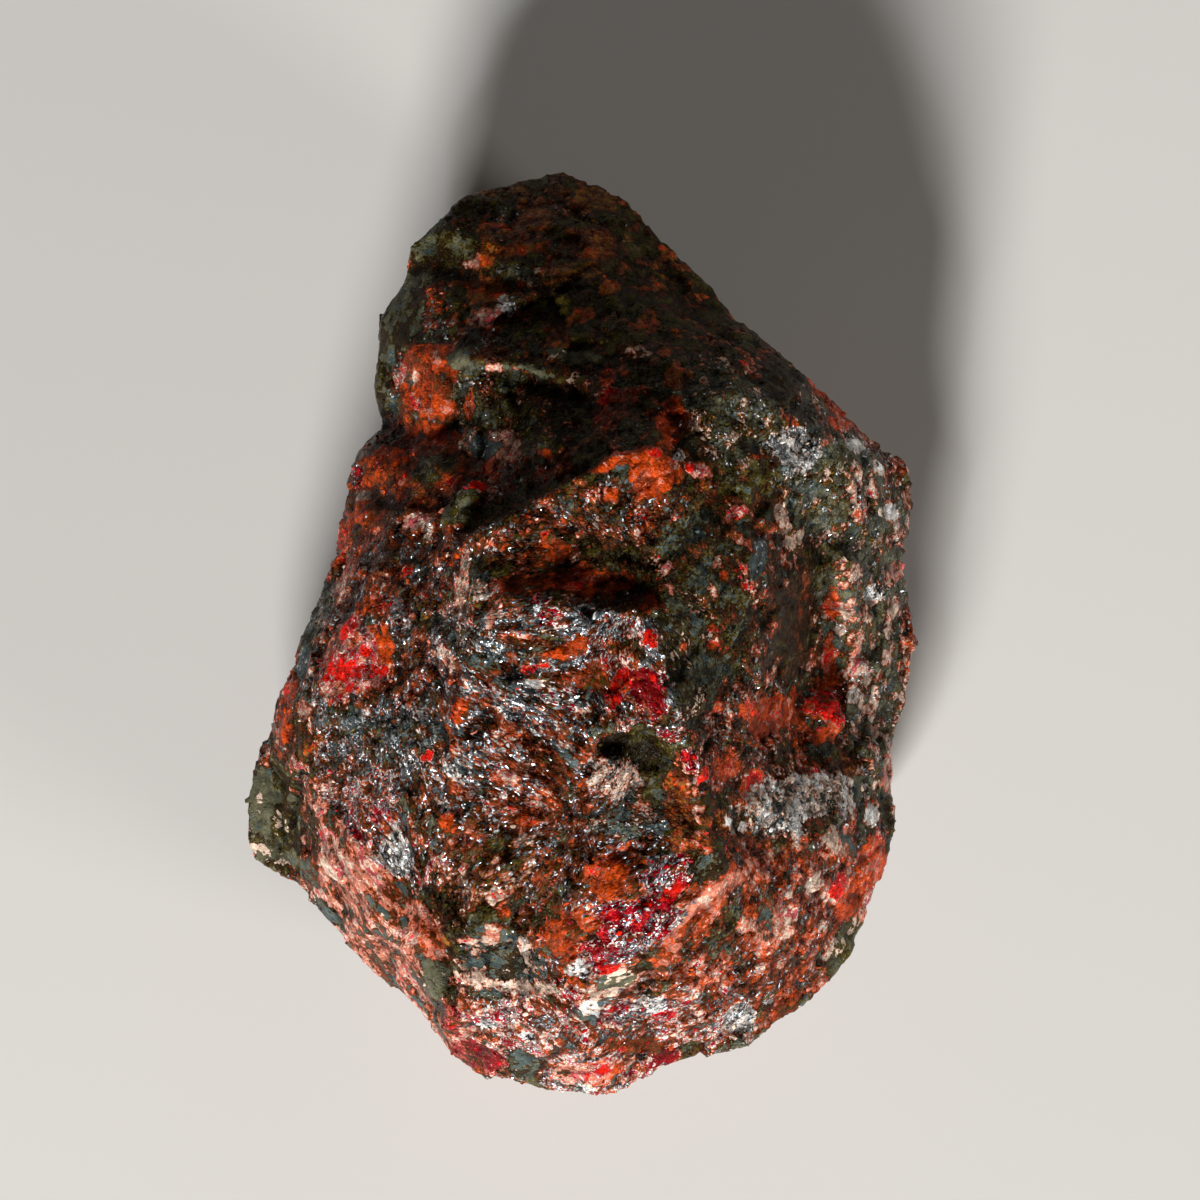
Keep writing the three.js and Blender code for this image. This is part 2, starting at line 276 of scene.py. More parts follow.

# How much of each mineral a kind of rock holds, in parts of its own sum. Then comes its grit, where 0 is a
# smooth cleavage and 1 a rough broken face, and last its grain, where 0 is fine and 1 coarse.
# Frost in a rock's row is partly painted highlight.
rocks = {
    "ground": ("sage 6 olive 6 soot 6 umber 42 russet 30 rust 8 salmon 6 cream 4 steel 9", 0.9, 0.45),
    "glinting": (
        "slate 6 sage 5 soot 5 umber 38 russet 22 rust 4 salmon 9 cream 9 frost 7 steel 23",
        0.9,
        0.4,
    ),
    "tealGlints": (
        "slate 22 sage 14 olive 8 soot 12 umber 22 russet 7 salmon 4 cream 5 frost 6 steel 24",
        0.8,
        0.2,
    ),
    "steely": (
        "slate 9 sage 5 soot 8 umber 30 russet 12 salmon 6 cream 7 frost 11 crimson 9 steel 48",
        0.8,
        0.2,
    ),
    "brownGrit": ("olive 6 soot 14 umber 38 russet 26 rust 8 salmon 5 cream 5 steel 4", 0.9, 0.1),
    "darkGrit": ("sage 8 olive 28 soot 34 umber 20 russet 6 salmon 2 cream 2", 0.8, 0.3),
    "strandTan": ("olive 16 soot 12 umber 26 russet 12 ochre 12 salmon 12 cream 14 steel 6", 0.8, 0.2),
    "oldRust": ("olive 42 soot 20 umber 22 russet 7 ochre 9 rust 3", 0.7, 0.7),
    "oldRed": ("soot 4 umber 36 russet 24 rust 9 wine 10 crimson 13 scarlet 4", 0.7, 0.4),
    "redGlints": (
        "umber 32 russet 18 rust 6 salmon 8 cream 5 frost 6 crimson 13 scarlet 4 steel 22",
        0.8,
        0.2,
    ),
    "deepRed": ("soot 4 umber 12 russet 3 wine 72 crimson 9", 0.6, 0.3),
    "brightRust": ("umber 10 russet 24 rust 50 salmon 8 scarlet 8", 0.7, 0.5),
    "rustBrown": ("olive 14 umber 30 russet 16 ochre 26 rust 14", 0.6, 0.5),
    "ochreRust": ("umber 14 russet 18 ochre 30 rust 38", 0.6, 0.4),
    "rustFace": ("olive 10 umber 34 russet 34 rust 20 salmon 2", 0.6, 0.5),
    "orange": ("russet 16 rust 60 salmon 16 cream 3 scarlet 5", 0.5, 0.5),
    # Bright orange-red; on the shaded right wall it is lighter than the rock there, as painted light.
    "ember": ("umber 6 russet 6 rust 48 salmon 14 scarlet 26", 0.4, 0.4),
    "ochre": ("olive 16 umber 22 ochre 48 rust 14", 0.5, 0.5),
    "amber": ("umber 40 russet 22 ochre 20 rust 18", 0.7, 0.0),
    "pink": ("slate 10 sage 7 umber 7 russet 7 salmon 31 cream 23 rose 15", 0.45, 0.5),
    "dimPink": ("slate 12 sage 10 soot 6 umber 16 russet 10 salmon 24 cream 12 rose 12", 0.35, 0.5),
    "salmonGrit": ("umber 12 russet 12 rust 12 salmon 44 cream 14 rose 6", 0.5, 0.4),
    "coral": ("umber 22 russet 34 rust 32 salmon 12 cream 1", 0.45, 0.6),
    "rose": ("sage 8 umber 14 salmon 22 cream 12 rose 36 crimson 8", 0.45, 0.5),
    "wineFace": ("soot 18 umber 26 russet 8 rose 8 wine 32 crimson 8", 0.5, 0.5),
    "palePeach": ("umber 6 salmon 34 cream 50 frost 10", 0.7, 0.1),
    "peach": ("slate 10 soot 8 umber 8 salmon 16 cream 56 frost 10 steel 6", 0.8, 0.3),
    "creamy": ("slate 7 sage 6 umber 4 salmon 16 cream 62 frost 5", 0.6, 0.3),
    # White grains; where clusters of white glints show, these patches are also painted highlight.
    "white": ("slate 7 soot 4 umber 5 cream 18 frost 60 steel 26", 0.9, 0.15),
    # Painted highlight: pale patches that stand for white glints.
    "whiteChip": ("sage 4 cream 22 frost 74", 0.6, 0.4),
    "mint": ("slate 6 sage 8 cream 12 frost 74", 0.2, 0.9),
    "granite": ("sage 22 soot 8 umber 14 russet 10 rust 6 salmon 16 cream 24 steel 8", 0.8, 0.7),
    "paleGranite": (
        "slate 6 sage 36 olive 14 soot 6 umber 9 russet 5 salmon 10 cream 23 steel 5",
        0.6,
        0.6,
    ),
    "pinkGranite": ("sage 10 soot 4 umber 20 russet 28 rust 14 salmon 22 cream 10 steel 5", 0.8, 0.7),
    "wineWhite": (
        "slate 6 umber 27 russet 17 rust 4 salmon 9 cream 12 frost 9 rose 13 crimson 11 steel 14",
        0.8,
        0.5,
    ),
    "greyGrit": ("slate 8 sage 46 olive 16 soot 8 umber 8 ochre 5 salmon 2 cream 12 steel 5", 0.8, 0.5),
    # Pale beige rock, made paler still as painted light where the lamps reach the band dimly.
    "paleBand": ("slate 9 sage 13 soot 2 umber 2 salmon 7 cream 40 frost 48 steel 8", 0.8, 0.35),
    "creamTeal": ("slate 30 sage 8 soot 12 salmon 10 cream 34 frost 6", 0.7, 0.4),
    "palePatina": ("slate 20 sage 46 cream 34", 0.3, 0.5),
    "sageFace": ("sage 86 soot 6 cream 6", 0.3, 0.7),
    "dimSage": ("slate 9 sage 30 olive 11 soot 50", 0.3, 0.5),
    "khaki": ("sage 36 olive 40 cream 24", 0.4, 0.6),
    "blueFace": ("slate 80 sage 14 steel 6", 0.35, 0.6),
    "tealFace": ("slate 34 sage 12 soot 50 cream 4", 0.4, 0.4),
    "tealGrit": ("slate 18 sage 12 soot 30 umber 16 russet 6 salmon 8 cream 8 steel 6", 0.8, 0.1),
    "darkFace": ("slate 10 sage 14 olive 22 soot 36 umber 14 russet 4", 0.6, 0.0),
    "greenFace": ("slate 18 sage 22 olive 16 soot 34 umber 8 cream 2", 0.6, 0.0),
    "oliveFace": ("slate 14 sage 14 olive 24 soot 48", 0.5, 0.3),
    "olive": ("olive 50 soot 8 umber 28 ochre 14", 0.7, 0.5),
    "paleOlive": ("sage 16 olive 30 ochre 34 cream 20", 0.4, 0.6),
    "mauve": ("olive 12 soot 60 umber 24 russet 4", 0.5, 0.3),
    # Near-black rock, laid as painted shade in cracks, crevices, the pocket and under overhangs.
    "blackish": ("olive 14 soot 78 umber 8", 0.6, 0.4),
    "ruby": ("umber 15 russet 10 salmon 5 frost 7 wine 22 crimson 33 scarlet 8 steel 17", 0.8, 0.25),
    "rubyWhite": (
        "umber 12 russet 8 salmon 12 cream 12 frost 14 rose 10 crimson 28 scarlet 4 steel 18",
        0.8,
        0.3,
    ),
    "vivid": ("rust 9 salmon 4 crimson 6 scarlet 81", 0.55, 0.4),
    "glossyRed": ("umber 3 rust 16 salmon 22 cream 4 frost 3 rose 20 crimson 4 scarlet 34", 0.5, 0.5),
}

# Where each kind of rock shows, seen from above: rock, middle x and y, half length and half width in mm,
# and its turn in degrees if it has one. Later rows lie over earlier ones, and spots over broad areas.
broadAreas = [
    ("oldRust", 3, 32, 21, 12, -42),
    # Painted shade: the dark band just behind the ledge's edge, where the wall's shadow falls.
    ("darkGrit", -3, 21.5, 9, 4.5),
    ("rustFace", -18, 14, 7, 8, 60),
    ("greyGrit", 14, 20, 6.5, 5, -35),
    # Painted shade on the upper right, where the lamps leave the top dark.
    ("blackish", 20, 23, 5, 2.5, -40),
    ("brownGrit", 1, 9, 12, 5, 12),
    # Painted shade: the dark strip just behind the crest, where its shadow falls.
    ("darkGrit", 4, 6.5, 4, 3.2),
    ("ground", -18, 4, 8, 6, 60),
    ("glinting", -10, -9, 16, 10, -25),
    ("ground", -17, -9, 6, 7),
    ("ground", -1, -19, 9, 7),
    ("tealGlints", -18, -10.5, 6.5, 3.8, -15),
    ("wineWhite", -20, -18, 8, 4, -45),
    ("darkFace", 11, 1, 5, 12),
    # The hollow: its own dark rock, painted darker still as painted shade.
    ("mauve", 20.5, 1, 4.2, 6.5),
    ("brownGrit", 15, -11, 6, 6),
    ("greyGrit", 23, 15, 6, 6, -40),
    ("paleGranite", 28, 5, 4.8, 11),
    ("paleGranite", 28, -10, 4, 9),
    ("pinkGranite", 19, -28, 14, 9, 40),
    ("wineWhite", 2, -38, 12, 6),
    ("dimPink", -21, -27, 11, 5, -42),
    ("dimSage", -30, -18, 3, 6),
]
spots = [
    # top block
    ("olive", -5, 42.5, 6, 1.3, 12),
    ("ochreRust", -4.5, 38.9, 2.5, 1.2, 10),
    ("rustBrown", -6, 36.6, 3.2, 1.3, 5),
    ("rustBrown", 1, 36.5, 3, 1.8),
    ("ochreRust", 0.2, 29.4, 1.2, 0.8, 20),
    ("oldRust", -11, 40, 2.2, 1.5),
    ("dimSage", -13.8, 36.6, 3.9, 2.3, -22),
    # Painted shadow under the overhanging facet above.
    ("blackish", -13, 34.2, 3.2, 1.2),
    ("dimSage", -17.0, 30, 5.6, 2.1, 68),
    ("dimSage", -19, 23.5, 4.5, 0.9, 88),
    ("ochreRust", -9, 34.8, 0.9, 0.6, -20),
    ("greyGrit", -5.6, 33.7, 2.2, 0.9, -15),
    ("ochreRust", -9, 32, 1.9, 1.4),
    ("pink", -9.4, 29.4, 1.5, 1.1),
    ("white", -6.8, 30.6, 0.9, 0.6, -40),
    # Painted shade in a crevice.
    ("blackish", -10.3, 27.3, 1.6, 0.9, 30),
    ("olive", 5, 37, 1.8, 1.0, -50),
    ("paleOlive", 5, 36.6, 1.4, 0.7, -50),
    ("ochre", 0, 34.1, 2.2, 0.8),
    ("ochre", 2, 41, 2.5, 1.2, -20),
    ("ochreRust", 3.1, 32.3, 1.4, 0.8, 35),
    ("blackish", -1, 31.8, 2.2, 1.1),
    ("ochreRust", -1.9, 27.6, 1.1, 1.6),
    ("ochreRust", 6.5, 28.8, 0.9, 1.9),
    ("oldRust", 8, 36, 4.5, 1.6, -45),
    ("sageFace", -0.8, 25.6, 2.6, 0.6, -3),
    ("darkGrit", 5.5, 25.6, 2.2, 0.6, 10),
    ("ochreRust", 8, 26, 0.8, 0.6),
    ("ochreRust", 9, 23.4, 1.5, 1.2, 30),
    ("brightRust", 2.4, 23.5, 0.8, 1.0),
    ("oldRed", 3, 20.6, 2.6, 1.6, 35),
    ("brightRust", 8.6, 20.4, 1.1, 1.4, 20),
    ("ochreRust", 15, 30, 0.8, 0.5, -40),
    ("ochreRust", 17.6, 26.3, 1.6, 0.7, -30),
    # bulge and left shoulder
    ("coral", -14.8, 23.7, 3.6, 3.6),
    ("coral", -15.8, 24.4, 1.8, 1.8),
    ("orange", -14.6, 21.3, 3.2, 1.0, -10),
    ("orange", -10.4, 21.2, 0.7, 1.5),
    ("orange", -14.8, 26.4, 1.4, 0.8),
    # Painted highlight on the bulge.
    ("pink", -16.3, 24, 1.2, 0.9),
    ("sageFace", -11.4, 25.2, 1.4, 1.0, -30),
    ("white", -10.5, 23.1, 0.5, 0.4),
    ("pink", -7.4, 24.4, 2.2, 0.3, -3),
    ("sageFace", -4, 24, 2.2, 0.45, -18),
    ("khaki", -0.6, 23.4, 1.9, 0.25, 10),
    ("blueFace", -9.2, 17, 1.6, 1.0),
    ("orange", -14.3, 18.4, 3.0, 1.0, -8),
    ("oldRed", -19.6, 17.4, 1.8, 0.9),
    ("brightRust", -18.3, 15.6, 2.2, 1.5),
    ("ruby", -21.4, 14.6, 0.7, 1.4),
    ("creamy", -21, 12.6, 1.1, 0.6),
    ("darkGrit", -14.2, 15.3, 2.2, 1.1, 25),
    ("oldRed", -14.4, 12.7, 3.0, 0.5, 30),
    ("brightRust", -8.6, 15, 1.6, 1.0),
    ("oldRust", -5.2, 12.8, 5.8, 0.9, 26),
    ("oldRed", -3, 14.6, 1.8, 0.6, 25),
    ("khaki", -10.9, 11.4, 2.3, 1.2, 62),
    ("vivid", -9.2, 13.2, 0.55, 0.5, 40),
    ("orange", -3.2, 16.2, 0.8, 0.6),
    ("brightRust", -21.4, 11, 1.6, 1.1, 20),
    ("brightRust", -23.5, 7, 3.8, 0.8, 62),
    ("pink", -15.4, 10, 1.4, 0.9),
    ("peach", -14.4, 9, 0.6, 1.0),
    ("vivid", -16, 5.5, 0.6, 0.5, -30),
    ("greyGrit", -25.3, 1.5, 1.6, 3.0, -30),
    ("brightRust", -19.8, 2.2, 1.8, 0.9),
    # wall below the ledge, and the crest
    ("orange", 4, 15.7, 3.6, 0.8, 20),
    ("orange", 7, 14.1, 2.6, 1.9),
    ("vivid", 6.9, 16.2, 0.8, 0.4),
    ("glossyRed", 11.2, 14.6, 1.4, 0.8, -15),
    ("white", 9.4, 16.1, 0.5, 0.6),
    ("brightRust", 2.9, 12.3, 0.8, 0.7),
    ("vivid", -3.2, 8.6, 0.5, 0.4),
    ("brightRust", -2.5, 7.4, 1.4, 1.1),
    ("brightRust", 0.3, 5.6, 0.4, 0.6),
    ("olive", -7.8, 5.8, 2.0, 0.8, -15),
    # Painted light: lighter than the pale peach strip, which lies in shade at the ledge's left end.
    ("palePeach", -10.7, 4.4, 2.7, 0.6, 84),
    ("creamTeal", -8.9, 3.9, 1.5, 1.1, 60),
    ("brightRust", -12, 6.3, 1.0, 0.4, 45),
    # Painted light: these two rusts are lighter than the reddish brown rock there, to lift the crest's
    # shadow.
    ("brightRust", -5, 4.1, 3.0, 0.7),
    ("brightRust", 1.6, 4.4, 4.0, 1.0),
    ("steely", -2, 1.2, 6.2, 1.5, 3),
    ("steely", 4, 0.3, 4.2, 1.5, -12),
    ("ruby", -4, 2.8, 1.6, 0.45),
    ("ruby", -2.4, 1.3, 1.3, 0.7),
    ("oldRed", 6.4, 2.3, 1.2, 0.9, 60),
    # front face
    ("tealGlints", -9.4, -1.6, 3.0, 2.4, -20),
    # Painted light: lighter than the pale peach streak, which lies in shade at the crest's left end.
    ("palePeach", -7.8, 1.6, 1.5, 0.6, 72),
    ("brightRust", -1.6, -1.9, 2.6, 0.7, 20),
    ("vivid", -4.2, -3.5, 1.3, 0.4, 8),
    ("redGlints", 4.2, -5.2, 4.8, 3.2, -25),
    ("rustFace", 1.2, -4.6, 1.6, 1.4),
    ("deepRed", 6.0, -5.6, 2.8, 1.5, -50),
    ("vivid", 3.6, -5.3, 2.2, 1.0, 66),
    ("steely", 7.4, -3.4, 3.6, 0.6, -60),
    ("steely", 9.0, -8.4, 2.2, 0.5, -74),
    ("vivid", 6.4, -0.7, 1.2, 0.6, -50),
    ("steely", -3, -6, 5.2, 1.3, -12),
    ("whiteChip", -4, -4.9, 1.1, 0.35),
    ("white", -7, -7.5, 1.1, 0.4, -35),
    ("white", -2.9, -7.6, 0.5, 0.3),
    ("palePeach", -12.4, -2.7, 1.3, 0.7, -65),
    ("white", -11, -13, 1.5, 0.8, -10),
    ("brightRust", -11.4, -7.8, 1.3, 0.7, 70),
    ("vivid", -14.3, -11.8, 0.6, 0.5),
    ("ruby", -7.8, -12.7, 0.6, 0.5),
    ("salmonGrit", -6.9, -13.7, 1.2, 0.7),
    ("steely", -18, -7.2, 1.6, 1.1),
    ("steely", -22.5, -12.6, 2.2, 1.8, -30),
    ("glossyRed", -21.5, -2.9, 4.0, 3.6, 30),
    ("vivid", -22.6, -4.2, 1.0, 0.9),
    # Painted highlight on the glossy red patch.
    ("pink", -23.4, -5.8, 0.9, 0.7, 30),
    ("orange", -18.4, -1.6, 1.0, 1.8),
    ("pink", -26.2, -7.5, 1.0, 1.0),
    ("brightRust", -27.9, -6.5, 5.2, 0.8, 84),
    ("blueFace", -26.5, -3, 2.2, 0.7, 84),
    ("oldRust", -26, -11, 1.2, 2.0),
    ("ember", -12.3, -18, 1.0, 0.7, -60),
    ("brightRust", -4.9, -17.5, 1.0, 0.5, -50),
    ("white", -17.6, -21.2, 2.3, 2.2),
    ("ruby", -22, -18.5, 1.8, 0.6, -50),
    ("dimPink", -20.5, -21.5, 9.5, 0.9, -48),
    # pocket
    ("oliveFace", 6.9, -13.0, 1.5, 3.9, 12),
    ("oliveFace", 6.2, -11, 2.6, 2.1, -30),
    # Painted shade on the pocket's upper-left wall.
    ("blackish", 3.5, -10.6, 1.6, 0.9, 10),
    ("peach", 3.4, -13.7, 2.9, 2.0, -15),
    ("tealGrit", 4.6, -17.8, 3.6, 1.6),
    ("amber", 9.0, -16.2, 1.3, 3.6, 5),
    ("blueFace", -0.8, -11.8, 1.3, 0.6, -50),
    ("ruby", 8.3, -9.7, 1.4, 0.5, -20),
    ("ruby", 10.2, -11.9, 1.3, 0.6, -65),
    # Painted shade in a crack.
    ("blackish", 12.2, -10.6, 1.2, 0.4, 50),
    # lower middle
    ("strandTan", -8, -22.3, 4.6, 2.4, 30),
    ("creamy", -4.9, -19.3, 1.5, 0.6, 25),
    ("brightRust", 2.6, -22.6, 2.2, 1.8),
    ("ruby", 8, -22.6, 2.8, 1.9, 25),
    ("ruby", 5, -27.6, 5.2, 2.6, 27),
    ("rubyWhite", 1.6, -30.9, 2.6, 1.3, 20),
    ("vivid", 8.6, -24.1, 1.2, 0.5, 30),
    ("vivid", 2.6, -31.6, 1.0, 0.4, 15),
    ("orange", -2.1, -28.5, 1.7, 0.8, -70),
    ("white", -0.1, -31.4, 1.2, 0.9),
    ("tealFace", 12.2, -21.8, 2.0, 1.3, 15),
    ("creamTeal", -7.6, -30.9, 3.9, 3.0),
    ("tealFace", -7, -30.6, 1.8, 1.9),
    ("creamy", -9.2, -32.8, 1.6, 0.8, -10),
    ("creamy", -3.6, -33.4, 1.8, 0.7),
    ("pink", -8, -28, 1.5, 0.9),
    ("brightRust", -7, -26.2, 0.8, 0.5),
    ("creamy", 2.1, -33.6, 1.6, 0.8, -10),
    ("palePatina", 3.7, -32.6, 2.0, 1.1, 10),
    ("mint", 1.1, -35.4, 1.2, 1.0, 30),
    ("rubyWhite", -8.4, -37, 2.0, 1.2, 10),
    ("white", -8.8, -37, 1.0, 0.6, 10),
    ("white", -5, -37.8, 0.9, 0.5),
    ("ruby", -6.6, -38.9, 0.9, 0.7),
    ("tealFace", -5.5, -41, 1.8, 1.4, 20),
    ("wineFace", -10, -40.3, 3.4, 1.5, -15),
    ("wineFace", -12.2, -37.2, 2.8, 1.1, 105),
    ("sageFace", -13.9, -33, 1.9, 1.2, 100),
    ("salmonGrit", -14.3, -28, 3.0, 1.2, 115),
    ("ochre", -12.4, -29, 0.6, 0.5),
    ("blackish", -11.6, -30, 0.8, 0.6),
    ("rubyWhite", 4.6, -35.6, 1.4, 0.9),
    ("oldRed", 5.5, -39, 3.2, 0.8),
    ("deepRed", 8.3, -40.2, 1.3, 0.8),
    ("glossyRed", 2, -41.4, 2.6, 1.4),
    ("rose", -1.2, -41.8, 1.6, 1.2),
    ("white", 0.3, -43.1, 0.9, 0.5),
    ("pink", -23, -23.6, 4.2, 2.8, -35),
    ("creamy", -24.2, -22.7, 1.8, 1.0, -30),
    ("tealFace", -24.5, -27.2, 2.4, 0.9, -40),
    ("dimPink", -18.5, -30.3, 4.5, 2.6, -38),
    ("sageFace", -30.5, -16.5, 1.0, 3.4),
    ("khaki", -29.2, -19.2, 0.9, 1.6),
    ("palePatina", -30.3, -21.7, 2.6, 0.7, -18),
    ("palePatina", -31.2, -18, 0.8, 2.0, -15),
    # right wall and hollow
    ("greenFace", 10.3, -3, 2.2, 6.2, 5),
    ("pink", 12.7, 6.2, 0.8, 0.35, 70),
    ("pink", 12.2, 3.7, 0.9, 0.3, 105),
    ("orange", 13.3, 5, 0.4, 0.3),
    ("pink", 8, 5.6, 0.6, 0.3, 60),
    ("pink", 8.4, 3.8, 0.7, 0.25, 110),
    ("pink", 10.4, 1.4, 0.7, 0.3, 50),
    ("pink", 11, 0.1, 0.4, 0.25),
    ("brightRust", 12.2, 0.2, 0.5, 0.3, -20),
    ("brightRust", 9.6, -1.4, 0.3, 0.2),
    ("pink", 13.6, -4.6, 0.5, 0.25, 60),
    ("brightRust", 12.9, -7.2, 0.4, 0.3),
    ("blueFace", 16.6, 6.4, 2.3, 0.75, 72),
    ("glossyRed", 14.6, 10.6, 1.1, 0.7, 35),
    ("brightRust", 16.6, 15.9, 0.9, 0.4, 10),
    ("brightRust", 12.3, -1.5, 0.5, 0.3),
    ("orange", 18.5, -8, 4.2, 1.8, 15),
    ("ember", 16.0, -7.6, 1.5, 0.8, -10),
    ("ember", 19.2, -8.0, 0.9, 0.7, 30),
    ("orange", 20.7, -6.2, 1.3, 0.6, -10),
    ("ember", 22.5, -10.0, 1.3, 1.3),
    ("vivid", 22.8, -7.7, 2.3, 1.9),
    ("ember", 23.8, -3.8, 0.7, 3.0),
    ("brightRust", 23.9, 2.3, 0.8, 1.4),
    ("ember", 16.0, -14.2, 1.7, 0.9, 55),
    ("brightRust", 13.4, -12.6, 1.4, 1.4),
    ("vivid", 11.4, -13.3, 0.3, 1.1, -20),
    ("oldRust", 12.4, -17, 1.5, 2.0),
    # right rim
    ("white", 20.6, 16.6, 2.6, 2.2, -30),
    ("tealFace", 21.8, 19.6, 1.8, 1.0, -20),
    ("orange", 25, 19.5, 1.6, 0.7, -15),
    ("pink", 23.2, 18, 0.7, 1.2, -30),
    ("whiteChip", 26.4, 17.4, 1.3, 0.8),
    ("whiteChip", 28.6, 15.3, 1.1, 0.8, -50),
    ("whiteChip", 29.6, 11, 1.7, 0.9),
    ("granite", 26.7, 11.4, 1.4, 1.2),
    ("greyGrit", 27, 8, 3.0, 1.7, 10),
    ("creamy", 19, 10.3, 1.6, 0.7, -55),
    ("creamy", 20.6, 8.4, 1.6, 0.6, 40),
    ("pink", 30.6, 5.4, 1.2, 1.0),
    ("white", 28.5, 3.3, 1.1, 0.9),
    ("creamy", 25.8, 1.7, 1.0, 1.4),
    ("pink", 26.2, -3, 1.9, 0.5, 70),
    ("whiteChip", 26.2, -6.4, 0.9, 0.9),
    ("oldRust", 25.2, -12.8, 1.8, 1.5),
    ("sageFace", 27.2, -15, 1.9, 1.1, -10),
    ("pink", 29.7, -14.2, 0.8, 2.6),
    ("whiteChip", 28.2, -18, 1.1, 1.1),
    # lower right
    ("paleBand", 20.7, -16.4, 7.6, 2.7, 12),
    ("white", 18.6, -18.4, 1.4, 0.7, 10),
    ("darkFace", 22.6, -18.4, 1.9, 0.8),
    ("creamy", 24, -19.8, 0.9, 1.3),
    ("orange", 28.2, -22.8, 2.6, 3.2),
    ("orange", 26, -26, 2.0, 2.4),
    ("vivid", 24.3, -24.1, 0.8, 1.3, -25),
    ("pink", 25.5, -20.2, 1.3, 1.6),
    ("creamy", 22.2, -24, 0.8, 0.9),
    ("salmonGrit", 11, -26.6, 6.8, 1.1, 46),
    ("darkFace", 13.6, -27.2, 2.4, 1.3, 45),
    ("pink", 18.2, -27.6, 2.2, 2.2),
    ("khaki", 25.6, -30, 3.6, 1.3, 58),
    ("white", 15.4, -37, 1.8, 1.8),
    ("rustFace", 20, -35.8, 1.8, 1.1, 35),
    ("white", 17.8, -35.2, 0.8, 0.8),
    ("white", 6.8, -35.0, 1.6, 1.3),
]

# Where the face is hollowed: depth in mm, then the same numbers as a spot has. A depth below 0 is a knob.
hollows = [
    (1.5, 3.5, -10.6, 1.5, 0.9, 10),
    (0.7, 6.0, -11.4, 2.6, 1.5, -40),
    (0.6, 12.2, -10.6, 1.3, 0.4, 50),
    (0.8, -13.0, -31.0, 5.5, 0.7, 105),
    (0.9, -27.0, -15.5, 4.5, 0.7, 70),
    (0.9, -5.0, 12.4, 7.5, 0.8, 26),
    (-2.3, 22.6, -8.6, 2.0, 2.5),
    (-1.1, -10.9, 11.4, 2.6, 1.1, 62),
]

# The way the strands run over each part of the face: middle x and y, reach in mm, turn in degrees.
strands = [
    (-3, 2, 7, 18),
    (7, -3, 5, -58),
    (-7, -9, 9, -28),
    (-8, -22, 7, 32),
    (5, -27, 8, 27),
    (12, -26, 5, 46),
    (-21, -23, 6, -46),
]

paintSettings = {
    "topSearch": 0.8,  # mm around a spot's middle in which the top of the stone is looked for
    "topReach": 0.3,  # mm past the nearest point, where none is that near
    "depth": (1.0, 1.6),  # mm, how deep every spot reaches, and what each mm of its longer half adds
    "wobbleNoises": ((1.1, 0.6), (3.2, 0.9)),  # size in mm and weight
    "edgeWobble": 0.45,  # how far an outline wanders, in parts of its spot's size
    "edgeSoftness": 0.28,
    "spotCalm": (0.45, 0.55),  # how much of the wobble a spot of smooth rock keeps, and what grit adds
    "areaWobble": 1.5,  # how much more the broad areas wander
    "areaSoftness": 0.56,
    "hollowWobble": 0.5,
    "hollowSoftness": 0.7,
    "strandSoftness": 1.0,
    "plainWay": (0.3, 0.1, 0.05),  # the way of the grains where no strands run
    "plainPull": 0.4,  # how strongly that way holds against the strands
    "hiddenRocks": ("ground", "granite", "oldRust", "greyGrit", "pink", "brightRust", "darkGrit"),
    "hiddenSize": 11.0,  # mm, of the patches on the sides that no spot reaches
    "hiddenContrast": 9.0,
    "hiddenShift": (2.0, 7.3),  # sets their noises apart
}

noiseWay = (1, 1.7, -1)  # each shift moves the place where a noise is read this way


def rockRow(name):
    # The share of each mineral in a rock, then its grit and its grain.
    words, grit, grain = rocks[name]
    words = words.split()
    shares = dict(zip(words[::2], map(float, words[1::2])))
    whole = sum(shares.values())
    return np.array([shares.get(m, 0) / whole for m in mineralNames] + [grit, grain])


def pointsOf(mesh):
    # The vertices in mm.
    points = np.zeros(len(mesh.vertices) * 3)
    mesh.vertices.foreach_get("co", points)
    return points.reshape(-1, 3) / mm


def noiseAt(points, size, shift):
    # Lumps of about the size in mm. Each shift gives a noise of its own.
    move = Vector([shift * part for part in noiseWay])
    return np.array([noise.noise(Vector(p) / size + move) for p in points])


def smoothStep(value):
    value = np.clip(value, 0, 1)
    return value * value * (3 - 2 * value)


def topAt(points, use, x, y):
    # The height of the stone's upper face near (x, y).
    away = np.hypot(points[:, 0] - x, points[:, 1] - y)
    near = away < max(use["topSearch"], away.min() + use["topReach"])
    return points[near, 2].max()


def unitWay(turn):
    # The way that a turn in degrees points, seen from above.
    return math.cos(math.radians(turn)), math.sin(math.radians(turn))


def spotReach(points, use, wobble, softness, x, y, halfLength, halfWidth, turn=0):
    # 1 inside a spot and 0 outside it. A spot is a turned ellipse that also ends in depth.
    c, s = unitWay(turn)
    away = points - (x, y, topAt(points, use, x, y))
    along = (away[:, 0] * c + away[:, 1] * s) / halfLength
    across = (away[:, 1] * c - away[:, 0] * s) / halfWidth
    deep = away[:, 2] / rising(use["depth"], max(halfLength, halfWidth))
    reach = np.sqrt(along**2 + across**2 + deep**2)
    edge = (1 + wobble - reach) / softness
    return smoothStep(edge + 0.5)  # the outline is the middle of the soft edge


def hiddenShares(points, use):
    # The row of broad patches of rock that cover the whole stone, and stay where no spot reaches.
    total = 0
    weights = 0
    for order, name in enumerate(use["hiddenRocks"]):
        field = noiseAt(points, use["hiddenSize"], rising(use["hiddenShift"], order))
        weight = np.exp(use["hiddenContrast"] * field)[:, None]
        total = total + weight * rockRow(name)
        weights = weights + weight
    return total / weights


